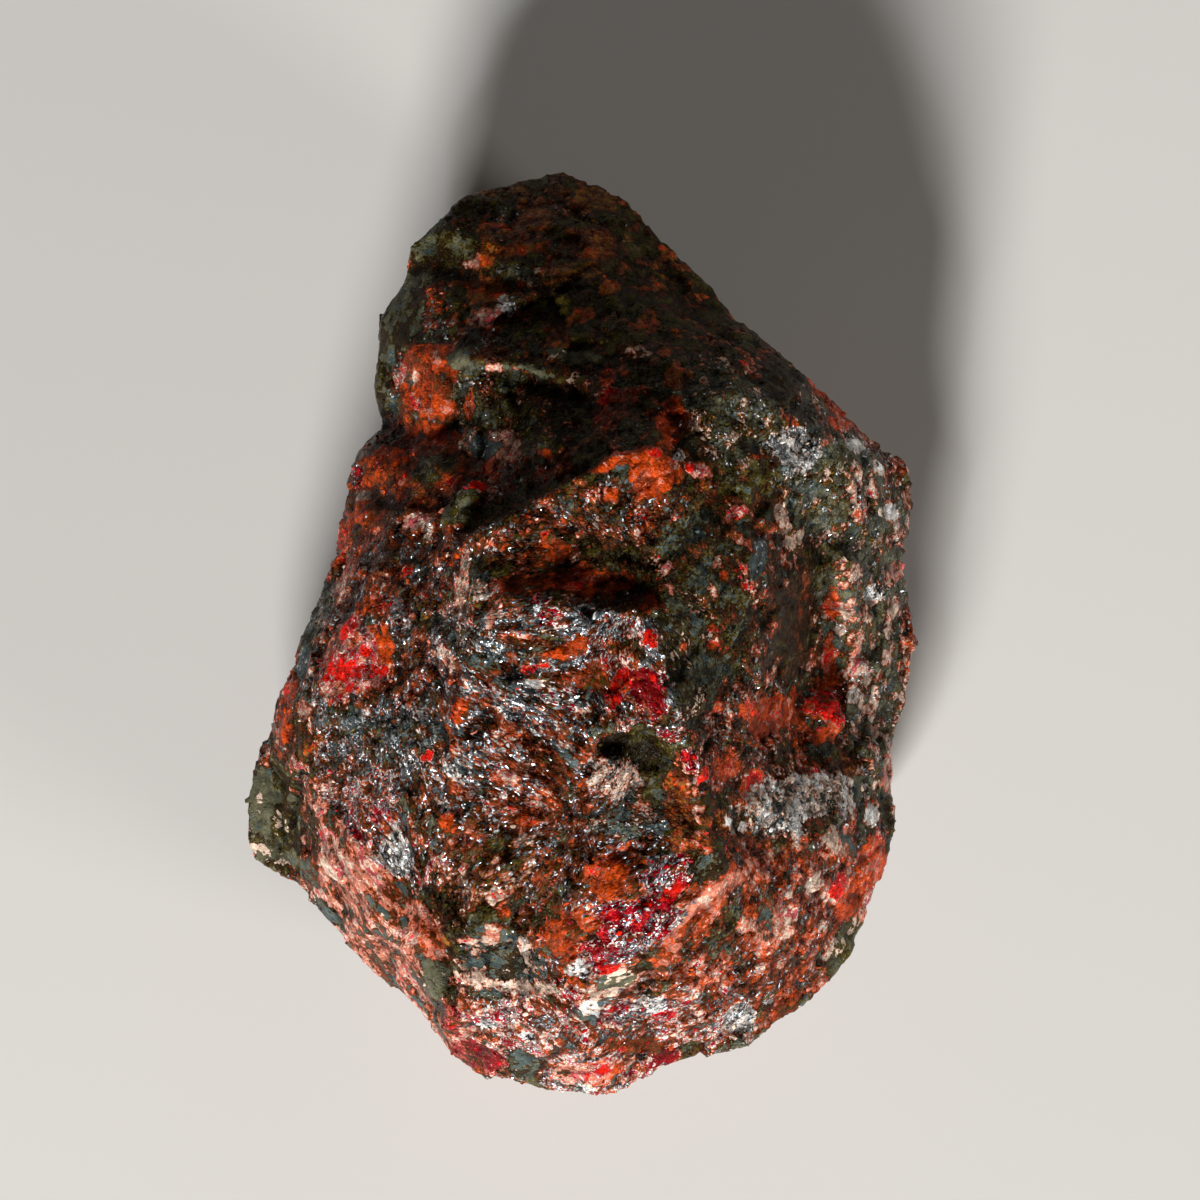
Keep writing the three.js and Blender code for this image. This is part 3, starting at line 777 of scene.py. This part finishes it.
def rockShares(points, wobble, use):
    # The row of the rocks that lie at each point.
    shares = hiddenShares(points, use)
    for rock, *place in broadAreas:
        reach = spotReach(points, use, use["areaWobble"] * wobble, use["areaSoftness"], *place)
        shares += (rockRow(rock) - shares) * reach[:, None]
    for rock, *place in spots:
        row = rockRow(rock)
        calm = rising(use["spotCalm"], row[gritColumn])
        reach = spotReach(points, use, calm * wobble, use["edgeSoftness"], *place)
        shares += (row - shares) * reach[:, None]
    return shares


def dentDepth(points, wobble, use):
    # The depth in mm of the deepest hollow or highest knob that reaches each point.
    dent = np.zeros(len(points))
    for depth, *place in hollows:
        reach = spotReach(points, use, use["hollowWobble"] * wobble, use["hollowSoftness"], *place)
        hollow = depth * reach
        dent = np.where(abs(hollow) > abs(dent), hollow, dent)
    return dent


def strandFlow(points, use):
    # The way of the strands at each point, and how far along them it lies, in mm.
    along = np.tile(use["plainWay"], (len(points), 1))
    shift = np.zeros_like(points)
    pulls = use["plainPull"]
    for x, y, reach, turn in strands:
        way = np.array((*unitWay(turn), 0))
        pull = spotReach(points, use, 0, use["strandSoftness"], x, y, reach, reach)[:, None]
        lengthwise = (points - (x, y, 0)) @ way
        along = along + pull * way
        shift = shift + pull * lengthwise[:, None] * way
        pulls = pulls + pull
    return along / np.linalg.norm(along, axis=1)[:, None], shift / pulls


def addAttribute(mesh, name, kind, values):
    field = "vector" if kind == "FLOAT_VECTOR" else "value"
    attribute = mesh.attributes.new(name, kind, "POINT")
    attribute.data.foreach_set(field, np.ascontiguousarray(values, np.float32).ravel())


def paintStone(mesh, use):
    # Writes for each vertex where each mineral's share ends between 0 and 1, and then what else the surface
    # and the materials read. Steel isn't among those shares. The last of them needs no end, which is 1.
    points = pointsOf(mesh)
    fine, broad = (weight * noiseAt(points, size, size) for size, weight in use["wobbleNoises"])
    wobble = use["edgeWobble"] * (fine + broad)
    shares = rockShares(points, wobble, use)
    plain = shares[:, :steelColumn]
    ends = np.cumsum(plain / plain.sum(axis=1)[:, None], axis=1)
    for order, name in enumerate(mineralNames[: steelColumn - 1]):
        addAttribute(mesh, "after" + name.capitalize(), "FLOAT", ends[:, order])
    addAttribute(mesh, "redShare", "FLOAT", shares[:, redColumns].sum(axis=1))
    addAttribute(mesh, "steelShare", "FLOAT", shares[:, steelColumn])
    addAttribute(mesh, "grit", "FLOAT", shares[:, gritColumn])
    addAttribute(mesh, "grain", "FLOAT", shares[:, grainColumn])
    addAttribute(mesh, "dent", "FLOAT", dentDepth(points, wobble, use) * mm)
    along, shift = strandFlow(points, use)
    addAttribute(mesh, "along", "FLOAT_VECTOR", along)
    addAttribute(mesh, "strandShift", "FLOAT_VECTOR", shift * mm)


# How the body is made. Pairs are a depth where the rock is smooth or fine, and what grit or a coarse grain
# adds to it.
massSettings = {
    "weld": 0.001,  # mm, doubles nearer than this are merged
    "voxel": 0.45,  # mm, the size of the finest chips that are cut in the body
    "seamAngle": 66.0,  # degrees, where the baking map is cut
    "mapGap": 0.003,
    "facetShifts": {"Block": (0.3, 0.1, 0.2), "Chip": (0.1, 0.4, 0.3), "Grain": (0.2, 0.2, 0.5)},
    "facetStep": 0.35,  # how far a chip stands above or below its neighbours, in parts of its size
    "facetStepWay": (0.4, -0.3, 0.5),  # the lean that lifts a chip most
    "strandStretch": 0.75,
    "strandDetail": 2.0,
    "blockDepth": (0.35, 0.65),  # with grit
    "chipDepth": (0.6, 0.4),  # with the grain, as the next
    "strandDepth": (1.0, -0.6),
    "flatBase": 0.1,  # mm, up to where the base stays as it is
    "reliefBlur": 7,
}


def settle(piece):
    # Turns what the modifiers make into the piece's own plain mesh.
    view = bpy.context.evaluated_depsgraph_get()
    view.update()
    evaluated = piece.evaluated_get(view)
    made = bpy.data.meshes.new_from_object(evaluated, preserve_all_data_layers=True, depsgraph=view)
    piece.modifiers.clear()
    piece.data = made


def solidCopy(node, name, use):
    # The body's starting shape: the CAD solid with its doubles merged, as one even skin of small quads.
    mesh = node.data.copy()
    skin = bmesh.new()
    skin.from_mesh(mesh)
    bmesh.ops.remove_doubles(skin, verts=skin.verts, dist=use["weld"] * mm)
    skin.to_mesh(mesh)
    skin.free()
    mesh.materials.clear()
    piece = bpy.data.objects.new(name, mesh)
    scene.collection.objects.link(piece)
    remesh = piece.modifiers.new("evenSkin", "REMESH")
    remesh.mode = "VOXEL"
    remesh.voxel_size = use["voxel"] * mm
    settle(piece)
    return piece


def layBakingMap(piece, use):
    # The map for baking is laid out while the skin is still even, so that it has few islands.
    piece.data.uv_layers.new(name="OFBake")
    bpy.context.view_layer.objects.active = piece
    piece.select_set(True)
    bpy.ops.object.mode_set(mode="EDIT")
    bpy.ops.mesh.select_all(action="SELECT")
    bpy.ops.uv.smart_project(angle_limit=math.radians(use["seamAngle"]), island_margin=use["mapGap"])
    bpy.ops.object.mode_set(mode="OBJECT")
    piece.select_set(False)


def newGeometry(name, inputs):
    # A geometry tree with one mesh in, one mesh out and the named inputs, given as name: kind.
    tree = bpy.data.node_groups.new(name, "GeometryNodeTree")
    tree.interface.new_socket("Geometry", in_out="INPUT", socket_type="NodeSocketGeometry")
    tree.interface.new_socket("Geometry", in_out="OUTPUT", socket_type="NodeSocketGeometry")
    graph = Graph(tree)
    for label, kind in inputs.items():
        socket = tree.interface.new_socket(label, in_out="INPUT", socket_type="NodeSocket" + kind)
        graph.sockets[label] = socket.identifier
    return graph, graph.node("NodeGroupInput")


def finishGeometry(graph, geometry, smooth, material):
    shading = {"Geometry": geometry, "Shade Smooth": smooth}
    shaded = graph.node("GeometryNodeSetShadeSmooth", None, shading)
    dressed = graph.node("GeometryNodeSetMaterial", None, {"Geometry": shaded, "Material": material})
    graph.node("NodeGroupOutput", None, {0: dressed})


def runGeometry(piece, graph, values):
    modifier = piece.modifiers.new(graph.tree.name, "NODES")
    modifier.node_group = graph.tree
    for label, value in values.items():
        modifier[graph.sockets[label]] = value
    settle(piece)


def readAttribute(graph, name, kind="FLOAT"):
    return graph.node("GeometryNodeInputNamedAttribute", {"data_type": kind}, {"Name": name})


def storeNumber(graph, geometry, name, value):
    settings = {"data_type": "FLOAT", "domain": "POINT"}
    inputs = {"Geometry": geometry, "Name": name, "Value": value}
    return graph.node("GeometryNodeStoreNamedAttribute", settings, inputs)


def aboveBase(graph, place, start, full):
    # 0 up to the starting height in metres, then a soft rise to 1 at the full height.
    height = graph.node("ShaderNodeSeparateXYZ", None, {0: place}, "Z")
    return graph.between(height, start, full)


# The inputs of the body's geometry tree, all in mm.
bodySettings = {
    "Block Size": 5.5,
    "Block Depth": 1.3,
    "Chip Size": 2.1,
    "Chip Depth": 0.75,
    "Grain Size": 0.95,
    "Grain Depth": 0.34,
    "Strand Size": 0.9,
    "Strand Depth": 0.5,
    "Base Height": 1.2,
}


def facetHeight(graph, use, place, size, shift):
    # Flat chips of about one size: each leans its own way and stands a little above or below its
    # neighbours. The height is in parts of the size.
    moved = graph.vector("ADD", place, shift)
    cell = graph.node("ShaderNodeTexVoronoi", None, {"Vector": moved, "Scale": 1 / size}, "Position")
    lean = graph.centred(cell.out("Color"))
    away = graph.vector("SUBTRACT", moved, cell)
    slope = graph.vector("DOT_PRODUCT", away, lean) / size
    step = graph.vector("DOT_PRODUCT", lean, use["facetStepWay"])
    return slope + use["facetStep"] * step


def brokenSurface(sizes, use, material):
    # Breaks the even skin into blocks, chips, grains and strands, and keeps the base flat. The relief
    # that it stores is how far each point stands out from those around it, in mm.
    graph, given = newGeometry("brokenSurface", dict.fromkeys(sizes, "Float"))
    place = graph.node("GeometryNodeInputPosition")
    normal = graph.node("GeometryNodeInputNormal")
    grit = readAttribute(graph, "grit")
    grain = readAttribute(graph, "grain")
    block, chip, small = (
        facetHeight(graph, use, place, given.out(name + " Size"), shift) * given.out(name + " Depth")
        for name, shift in use["facetShifts"].items()
    )
    shift = readAttribute(graph, "strandShift", "FLOAT_VECTOR")
    squeezed = graph.vector("SUBTRACT", place, graph.vector("SCALE", shift, use["strandStretch"]))
    strandNoise = {"Vector": squeezed, "Scale": 1 / given.out("Strand Size"), "Detail": use["strandDetail"]}
    strand = graph.node("ShaderNodeTexNoise", None, strandNoise) - 0.5
    height = block * rising(use["blockDepth"], grit)
    height = height + grit * (chip * rising(use["chipDepth"], grain) + small)
    height = height + grit * rising(use["strandDepth"], grain) * strand * given.out("Strand Depth")
    height = height - readAttribute(graph, "dent")
    height = height * aboveBase(graph, place, use["flatBase"] * mm, given.out("Base Height"))
    offset = graph.vector("SCALE", normal, height)
    broken = graph.node("GeometryNodeSetPosition", None, {"Geometry": given, "Offset": offset})
    nearby = {"Value": place, "Iterations": use["reliefBlur"]}
    softened = graph.node("GeometryNodeBlurAttribute", {"data_type": "FLOAT_VECTOR"}, nearby)
    relief = graph.vector("DOT_PRODUCT", graph.vector("SUBTRACT", place, softened), normal) / mm
    finishGeometry(graph, storeNumber(graph, broken, "relief", relief), True, material)
    return graph


# Which mineral each grain is comes from a noise of blotches, which the body and the grains on it share.
blotchSettings = {
    "size": 2.4,  # mm
    "detail": 3.0,
    "roughness": 0.6,
    "range": (0.25, 0.75),  # of the noise
}

rockSettings = {
    # Noises, as size in mm and detail.
    "warpNoise": (0.9, 3.0),
    "featherNoise": (0.55, 4.0),
    "speckNoise": (0.09, 2.0),
    "clusterNoise": (2.0, 2.0),
    "filamentNoise": (0.34, 2.0),
    # Sizes in mm.
    "grainSize": 0.90,
    "fleckSize": 0.25,
    "warp": 0.40,  # how far the grains' outlines wander
    "filamentHeight": 0.12,
    "filmCell": 1.1,  # the cells that the films of steel lie between
    "filmWidth": 0.13,  # where the rock is all steel
    "pitShadeDepth": (-0.14, 0.08),  # the relief where the painted shade in pits is darkest, and where it ends
    # Which mineral it is.
    "strayGrain": 0.14,  # how far a grain strays from the minerals around it
    "strayFleck": 0.10,
    "fineStray": 3.5,  # how much more the flecks stray where the rock is fine
    "feather": 0.36,
    "stretch": 0.64,  # how far grains are drawn out along the strands
    "speckStretch": 0.8,
    # Its tone by chance, the painted shade in its pits and gaps, and its facets.
    "grainLean": 0.9,  # how far the grains' and flecks' faces lean
    "fleckLean": 1.0,
    "grainRound": 0.5,
    "darkest": 0.60,
    "grainLight": 0.45,  # how much lighter chance makes a grain
    "fleckLight": 0.45,
    "speckLight": (0.5, 0.9),  # where the rock is smooth, and what grit adds
    "speckRough": 0.12,
    # Painted shade: how much the pits and the gaps between grains are darkened.
    "pitShadeStrength": 0.65,
    "gapShadeStrength": 0.60,
    "grainGapShade": (0.42, 0.78),  # from the middle in parts of the size, where the painted shade in the gaps starts and is darkest
    "fleckGapShade": (0.40, 0.75),
    "fleckGapShadeStrength": 0.5,  # the painted shade in the flecks' gaps, beside that of the grains
    # Its steel.
    "clusterEdge": (0.44, 0.60),
    "steelSpread": (0.10, 2.5),  # how much steel lies outside the clusters, and what they add
    "steelMetal": 0.65,
    "steelShine": (0.80, 0.84, 0.86),  # the colour of the brightest flecks
    "specular": 0.07,
}


def attributeOf(graph, name, output="Fac"):
    return graph.node("ShaderNodeAttribute", {"attribute_name": name}, None, output)


def mineralPick(graph, place, stray):
    # A place among the shares of the minerals, from 0 to 1.
    use = blotchSettings
    inputs = {
        "Vector": place,
        "Scale": 1 / (use["size"] * mm),
        "Detail": use["detail"],
        "Roughness": use["roughness"],
    }
    return graph.between(graph.node("ShaderNodeTexNoise", None, inputs) + stray, *use["range"])


def mineralLook(graph, pick):
    # The colour and roughness of the mineral whose share holds this pick.
    tint, rough = minerals[mineralNames[0]]
    colour = (*tint, 1)
    for before, name in zip(mineralNames, mineralNames[1:steelColumn]):
        chosen = pick > attributeOf(graph, "after" + before.capitalize())
        tint, roughness = minerals[name]
        colour = graph.mixColour(chosen, colour, (*tint, 1))
        rough = graph.mixNumber(chosen, rough, roughness)
    return colour, rough


def cells(graph, place, size):
    # Grains of one size in mm: their random colour and its first part, their middle, and the way from it
    # and how far that is, both in parts of their size.
    scale = 1 / (size * mm)
    colour = graph.node("ShaderNodeTexVoronoi", None, {"Vector": place, "Scale": scale}, "Color")
    middle = colour.out("Position")
    return {
        "colour": colour,
        "chance": graph.node("ShaderNodeSeparateColor", None, {0: colour}, "Red"),
        "middle": middle,
        "away": graph.vector("SCALE", graph.vector("SUBTRACT", place, middle), scale),
        "edge": colour.out("Distance"),
    }


def rockPick(graph, use, grain, fleck, streaked, grit):
    # Where the rock is coarse a whole grain is one mineral, and where it is fine each fleck has its own.
    coarse = attributeOf(graph, "grain")
    toGrain = graph.vector("SUBTRACT", grain["middle"], fleck["middle"])
    place = graph.vector("ADD", fleck["middle"], graph.vector("SCALE", toGrain, coarse))
    strayFleck = use["strayFleck"] * grit * (1 + use["fineStray"] * (1 - coarse) ** 3)
    stray = use["strayGrain"] * (grain["chance"] - 0.5) + strayFleck * (fleck["chance"] - 0.5)
    stray = stray + use["feather"] * (graph.noise(streaked, use["featherNoise"]) - 0.5)
    return mineralPick(graph, place, stray)


def steelMask(graph, use, moved, fleck):
    # 1 on the steel: clustered flecks, and thin films between larger cells.
    cluster = graph.between(graph.noise(moved, use["clusterNoise"]), *use["clusterEdge"])
    share = attributeOf(graph, "steelShare") * rising(use["steelSpread"], cluster)
    filmCells = {"Vector": moved, "Scale": 1 / (use["filmCell"] * mm)}
    film = graph.node("ShaderNodeTexVoronoi", {"feature": "DISTANCE_TO_EDGE"}, filmCells)
    filmed = film < use["filmWidth"] / use["filmCell"] * share
    flecked = fleck["chance"].out("Green") < share
    return graph.node("ShaderNodeMath", {"operation": "MAXIMUM"}, {0: flecked, 1: filmed})


def rockToneAndPaintedShade(graph, use, grain, fleck, speck, grit):
    # How light the rock is: each grain, fleck and speck by chance, with painted shade that darkens the pits
    # and the gaps between grains and flecks.
    light = use["darkest"] + use["grainLight"] * grain["chance"].out("Blue")
    light = light + use["fleckLight"] * fleck["chance"].out("Blue")
    light = light * (1 + rising(use["speckLight"], grit) * (speck - 0.5))
    pitShade = graph.between(attributeOf(graph, "relief"), *use["pitShadeDepth"])
    gapShade = graph.between(grain["edge"], *use["grainGapShade"])
    gapShade = gapShade + use["fleckGapShadeStrength"] * graph.between(fleck["edge"], *use["fleckGapShade"])
    return light * (1 - use["pitShadeStrength"] * (1 - pitShade)) * (1 - use["gapShadeStrength"] * gapShade * grit)


def rockNormal(graph, use, grain, fleck, streaked, grit):
    # Each grain and fleck leans its own way and is a little round. Fine ridges follow the strands.
    lean = graph.vector("SCALE", graph.centred(grain["colour"]), use["grainLean"])
    tilt = graph.vector("SCALE", graph.centred(fleck["colour"]), use["fleckLean"])
    rounding = graph.vector("SCALE", graph.vector("ADD", grain["away"], fleck["away"]), use["grainRound"])
    lean = graph.vector("ADD", graph.vector("ADD", lean, tilt), rounding)
    normal = graph.node("ShaderNodeNewGeometry", None, None, "Normal")
    tilted = graph.vector("ADD", normal, graph.vector("SCALE", lean, grit))
    side = graph.noise(streaked, use["filamentNoise"]) * 2 - 1
    ridge = 1 - graph.node("ShaderNodeMath", {"operation": "ABSOLUTE"}, {0: side})
    bump = {"Strength": 1.0, "Distance": use["filamentHeight"] * mm, "Height": ridge}
    bump["Normal"] = graph.vector("NORMALIZE", tilted)
    return graph.node("ShaderNodeBump", None, bump)


def rockMaterial(use):
    material, graph = newShader("brokenRock")
    place = graph.node("ShaderNodeTexCoord", None, None, "Object")
    shift = attributeOf(graph, "strandShift", "Vector")
    wander = graph.centred(graph.noise(place, use["warpNoise"], "Color"))
    wander = graph.vector("SCALE", wander, use["warp"] * mm)

    def drawnOut(stretch):
        drawn = graph.vector("SUBTRACT", place, graph.vector("SCALE", shift, stretch))
        return graph.vector("ADD", drawn, wander)

    moved = drawnOut(use["stretch"])
    streaked = drawnOut(use["speckStretch"])
    fleck = cells(graph, moved, use["fleckSize"])
    grain = cells(graph, moved, use["grainSize"])
    speck = graph.noise(streaked, use["speckNoise"])
    grit = attributeOf(graph, "grit")
    colour, rough = mineralLook(graph, rockPick(graph, use, grain, fleck, streaked, grit))
    steel = steelMask(graph, use, moved, fleck)
    tint, steelRough = minerals["steel"]
    shine = graph.mixColour(fleck["chance"] ** 2, (*tint, 1), (*use["steelShine"], 1))
    colour = graph.mixColour(steel, colour, shine)
    rough = graph.mixNumber(steel, rough, steelRough)
    surface = {
        "Base Color": graph.vector("SCALE", colour, rockToneAndPaintedShade(graph, use, grain, fleck, speck, grit)),
        "Metallic": use["steelMetal"] * steel,
        "Roughness": rough + use["speckRough"] * (speck - 0.5),
        "Normal": rockNormal(graph, use, grain, fleck, streaked, grit),
    }
    finishShader(graph, surface, {"Specular IOR Level": use["specular"]})
    return material


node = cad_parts["diaspore_stone"]
body = solidCopy(node, "stoneBody", massSettings)
print("even skin:", len(body.data.polygons), "faces")
layBakingMap(body, massSettings)
print("baking map laid")
paintStone(body.data, paintSettings)
print("minerals placed")
bodySizes = {name: size * mm for name, size in bodySettings.items()}
runGeometry(body, brokenSurface(bodySettings, massSettings, rockMaterial(rockSettings)), bodySizes)
print("body broken:", len(body.data.polygons), "faces")


# What all the grains that stand on the body share.
coverSettings = {
    "baseEdge": (0.8, 1.8),  # mm above the base, where grains start and where they are at full density
    "stray": 0.24,  # how far a grain strays from the minerals around it
    "sizeFall": 3,  # the higher, the more of the grains are small
    "sideSpread": (0.7, 1.3),
    "bendsPerMm": 1.6,
}


def grainCover(name, inputs, use, wanted, material):
    # Scatters small crystals over the body, as thick as the wanted attribute says, lying with the strands.
    kinds = {label: "Int" if label == "Seed" else "Float" for label in inputs}
    graph, given = newGeometry(name, kinds)
    place = graph.node("GeometryNodeInputPosition")
    start, full = use["baseEdge"]
    density = readAttribute(graph, wanted) * given.out("Density")
    density = density * aboveBase(graph, place, start * mm, full * mm)
    spread = {"Mesh": given, "Density": density, "Seed": given.out("Seed")}
    points = graph.node("GeometryNodeDistributePointsOnFaces", None, spread)
    index = graph.node("GeometryNodeInputIndex")
    draws = itertools.count(1)

    def chance(low, high):
        # A random number for each grain, from a new stream at each call.
        limits = {2: low, 3: high, "ID": index, "Seed": given.out("Seed") + next(draws)}
        return graph.node("FunctionNodeRandomValue", {"data_type": "FLOAT"}, limits, 1)

    pick = mineralPick(graph, place, use["stray"] * (chance(0.0, 1.0) - 0.5))
    marked = storeNumber(graph, points, "pick", pick)
    marked = storeNumber(graph, marked, "shade", chance(0.0, 1.0))
    growth = (given.out("Largest") - given.out("Smallest")) * chance(0.0, 1.0) ** use["sizeFall"]
    size = given.out("Smallest") + growth
    along = readAttribute(graph, "along", "FLOAT_VECTOR")
    axes = {"Primary Axis": points.out("Normal"), "Secondary Axis": along}
    laid = graph.node("FunctionNodeAxesToRotation", {"primary_axis": "Z", "secondary_axis": "X"}, axes)
    tilts = {axis: chance(-1.0, 1.0) * given.out("Tilt") for axis in range(3)}
    turn = {"Rotation": laid, "Rotate By": graph.node("ShaderNodeCombineXYZ", None, tilts)}
    tilted = graph.node("FunctionNodeRotateRotation", {"rotation_space": "LOCAL"}, turn)
    sides = {
        0: size * given.out("Length") * chance(*use["sideSpread"]),
        1: size * given.out("Width") * chance(*use["sideSpread"]),
        2: size * given.out("Thickness"),
    }
    sunk = graph.vector("SCALE", points.out("Normal"), size * given.out("Sunk") * -1)
    lowered = graph.node("GeometryNodeSetPosition", None, {"Geometry": marked, "Offset": sunk})
    unitBall = {"Radius": 0.5, "Subdivisions": 1}  # 1 across, so that its scale is its size
    crystal = graph.node("GeometryNodeMeshIcoSphere", None, unitBall)
    stand = {
        "Points": lowered,
        "Instance": crystal,
        "Rotation": tilted,
        "Scale": graph.node("ShaderNodeCombineXYZ", None, sides),
    }
    placed = graph.node("GeometryNodeInstanceOnPoints", None, stand)
    grains = graph.node("GeometryNodeRealizeInstances", None, {"Geometry": placed})
    bends = {"Vector": place, "Scale": use["bendsPerMm"] / mm}
    push = graph.centred(graph.node("ShaderNodeTexNoise", None, bends, "Color"))
    push = graph.vector("SCALE", push, given.out("Warp"))
    bent = graph.node("GeometryNodeSetPosition", None, {"Geometry": grains, "Offset": push})
    finishGeometry(graph, bent, False, material)
    return graph


# Among the inputs, smallest, largest and warp are in mm, tilt is in degrees, and density in grains to a
# square mm where the rock is all of that kind. The others are in parts of a grain's own size.
mixedSettings = {
    "inputs": {
        "Density": 0.95,
        "Smallest": 0.25,
        "Largest": 0.9,
        "Length": 1.35,
        "Width": 0.8,
        "Thickness": 0.5,
        "Sunk": 0.24,
        "Tilt": 50.0,
        "Warp": 0.35,
        "Seed": 3,
    },
    "light": (0.5, 0.9),  # of the darkest crystal, and what chance adds
    "cloudsPerMm": 2.8,
    "cloudDetail": 3.0,
    "cloudLight": (0.35, 1.3),  # where no cloud is, and what a full cloud adds
    "cloudRough": 0.2,
    "specular": 0.12,
}


def mixedMaterial(use):
    # Each crystal is one mineral, a little cloudy.
    material, graph = newShader("crystalFace")
    colour, rough = mineralLook(graph, attributeOf(graph, "pick"))
    place = graph.node("ShaderNodeTexCoord", None, None, "Object")
    cloudNoise = {"Vector": place, "Scale": use["cloudsPerMm"] / mm, "Detail": use["cloudDetail"]}
    cloud = graph.node("ShaderNodeTexNoise", None, cloudNoise)
    light = rising(use["light"], attributeOf(graph, "shade")) * rising(use["cloudLight"], cloud)
    surface = {
        "Base Color": graph.vector("SCALE", colour, light),
        "Roughness": rough + use["cloudRough"] * (cloud - 0.5),
    }
    finishShader(graph, surface, {"Specular IOR Level": use["specular"]})
    return material


flakeSettings = {
    "inputs": {
        "Density": 3.6,
        "Smallest": 0.12,
        "Largest": 0.48,
        "Length": 1.7,
        "Width": 0.7,
        "Thickness": 0.22,
        "Sunk": 0.05,
        "Tilt": 42.0,
        "Warp": 0.08,
        "Seed": 11,
    },
    "darkest": (0.30, 0.35, 0.40, 1),
    "brightest": (0.68, 0.71, 0.74, 1),
    "rough": (0.10, 0.14),  # of the smoothest flake, and how much more at most
    "metal": 0.6,
    "specular": 0.5,
}


def flakeMaterial(use):
    # Each flake has one steely shade.
    material, graph = newShader("cleavageFlake")
    surface = {
        "Base Color": graph.mixColour(attributeOf(graph, "shade"), use["darkest"], use["brightest"]),
        "Roughness": rising(use["rough"], attributeOf(graph, "pick")),
    }
    finishShader(graph, surface, {"Metallic": use["metal"], "Specular IOR Level": use["specular"]})
    return material


redSettings = {
    "inputs": {
        "Density": 1.6,
        "Smallest": 0.25,
        "Largest": 0.85,
        "Length": 1.2,
        "Width": 0.8,
        "Thickness": 0.5,
        "Sunk": 0.15,
        "Tilt": 50.0,
        "Warp": 0.2,
        "Seed": 23,
    },
    "deepest": (0.26, 0.003, 0.014, 1),
    "brightest": (0.66, 0.020, 0.008, 1),
    "light": (0.55, 0.7),  # of the darkest crystal, and what chance adds
    "rough": (0.12, 0.08),
    "specular": 0.5,
}


def redMaterial(use):
    # Glassy crystals, from deep to bright red.
    material, graph = newShader("redCrystal")
    shade = attributeOf(graph, "shade")
    colour = graph.mixColour(attributeOf(graph, "pick"), use["deepest"], use["brightest"])
    surface = {
        "Base Color": graph.vector("SCALE", colour, rising(use["light"], shade)),
        "Roughness": rising(use["rough"], shade),
    }
    finishShader(graph, surface, {"Specular IOR Level": use["specular"]})
    return material


def scatterGrains(name, inputs, wanted, material):
    values = dict(inputs)
    for label in ("Smallest", "Largest", "Warp"):
        values[label] = inputs[label] * mm
    values["Density"] = inputs["Density"] / mm**2
    values["Tilt"] = math.radians(inputs["Tilt"])
    piece = bpy.data.objects.new(name, body.data.copy())
    scene.collection.objects.link(piece)
    runGeometry(piece, grainCover(name, inputs, coverSettings, wanted, material), values)
    print(name + ":", len(piece.data.polygons), "faces")
    return piece


pieces = [
    body,
    scatterGrains("mixedGrains", mixedSettings["inputs"], "grit", mixedMaterial(mixedSettings)),
    scatterGrains("brightFlakes", flakeSettings["inputs"], "steelShare", flakeMaterial(flakeSettings)),
    scatterGrains("redCrystals", redSettings["inputs"], "redShare", redMaterial(redSettings)),
]
for piece in pieces:
    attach(piece, "root")
    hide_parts("diaspore_stone")

print("pieces ready")
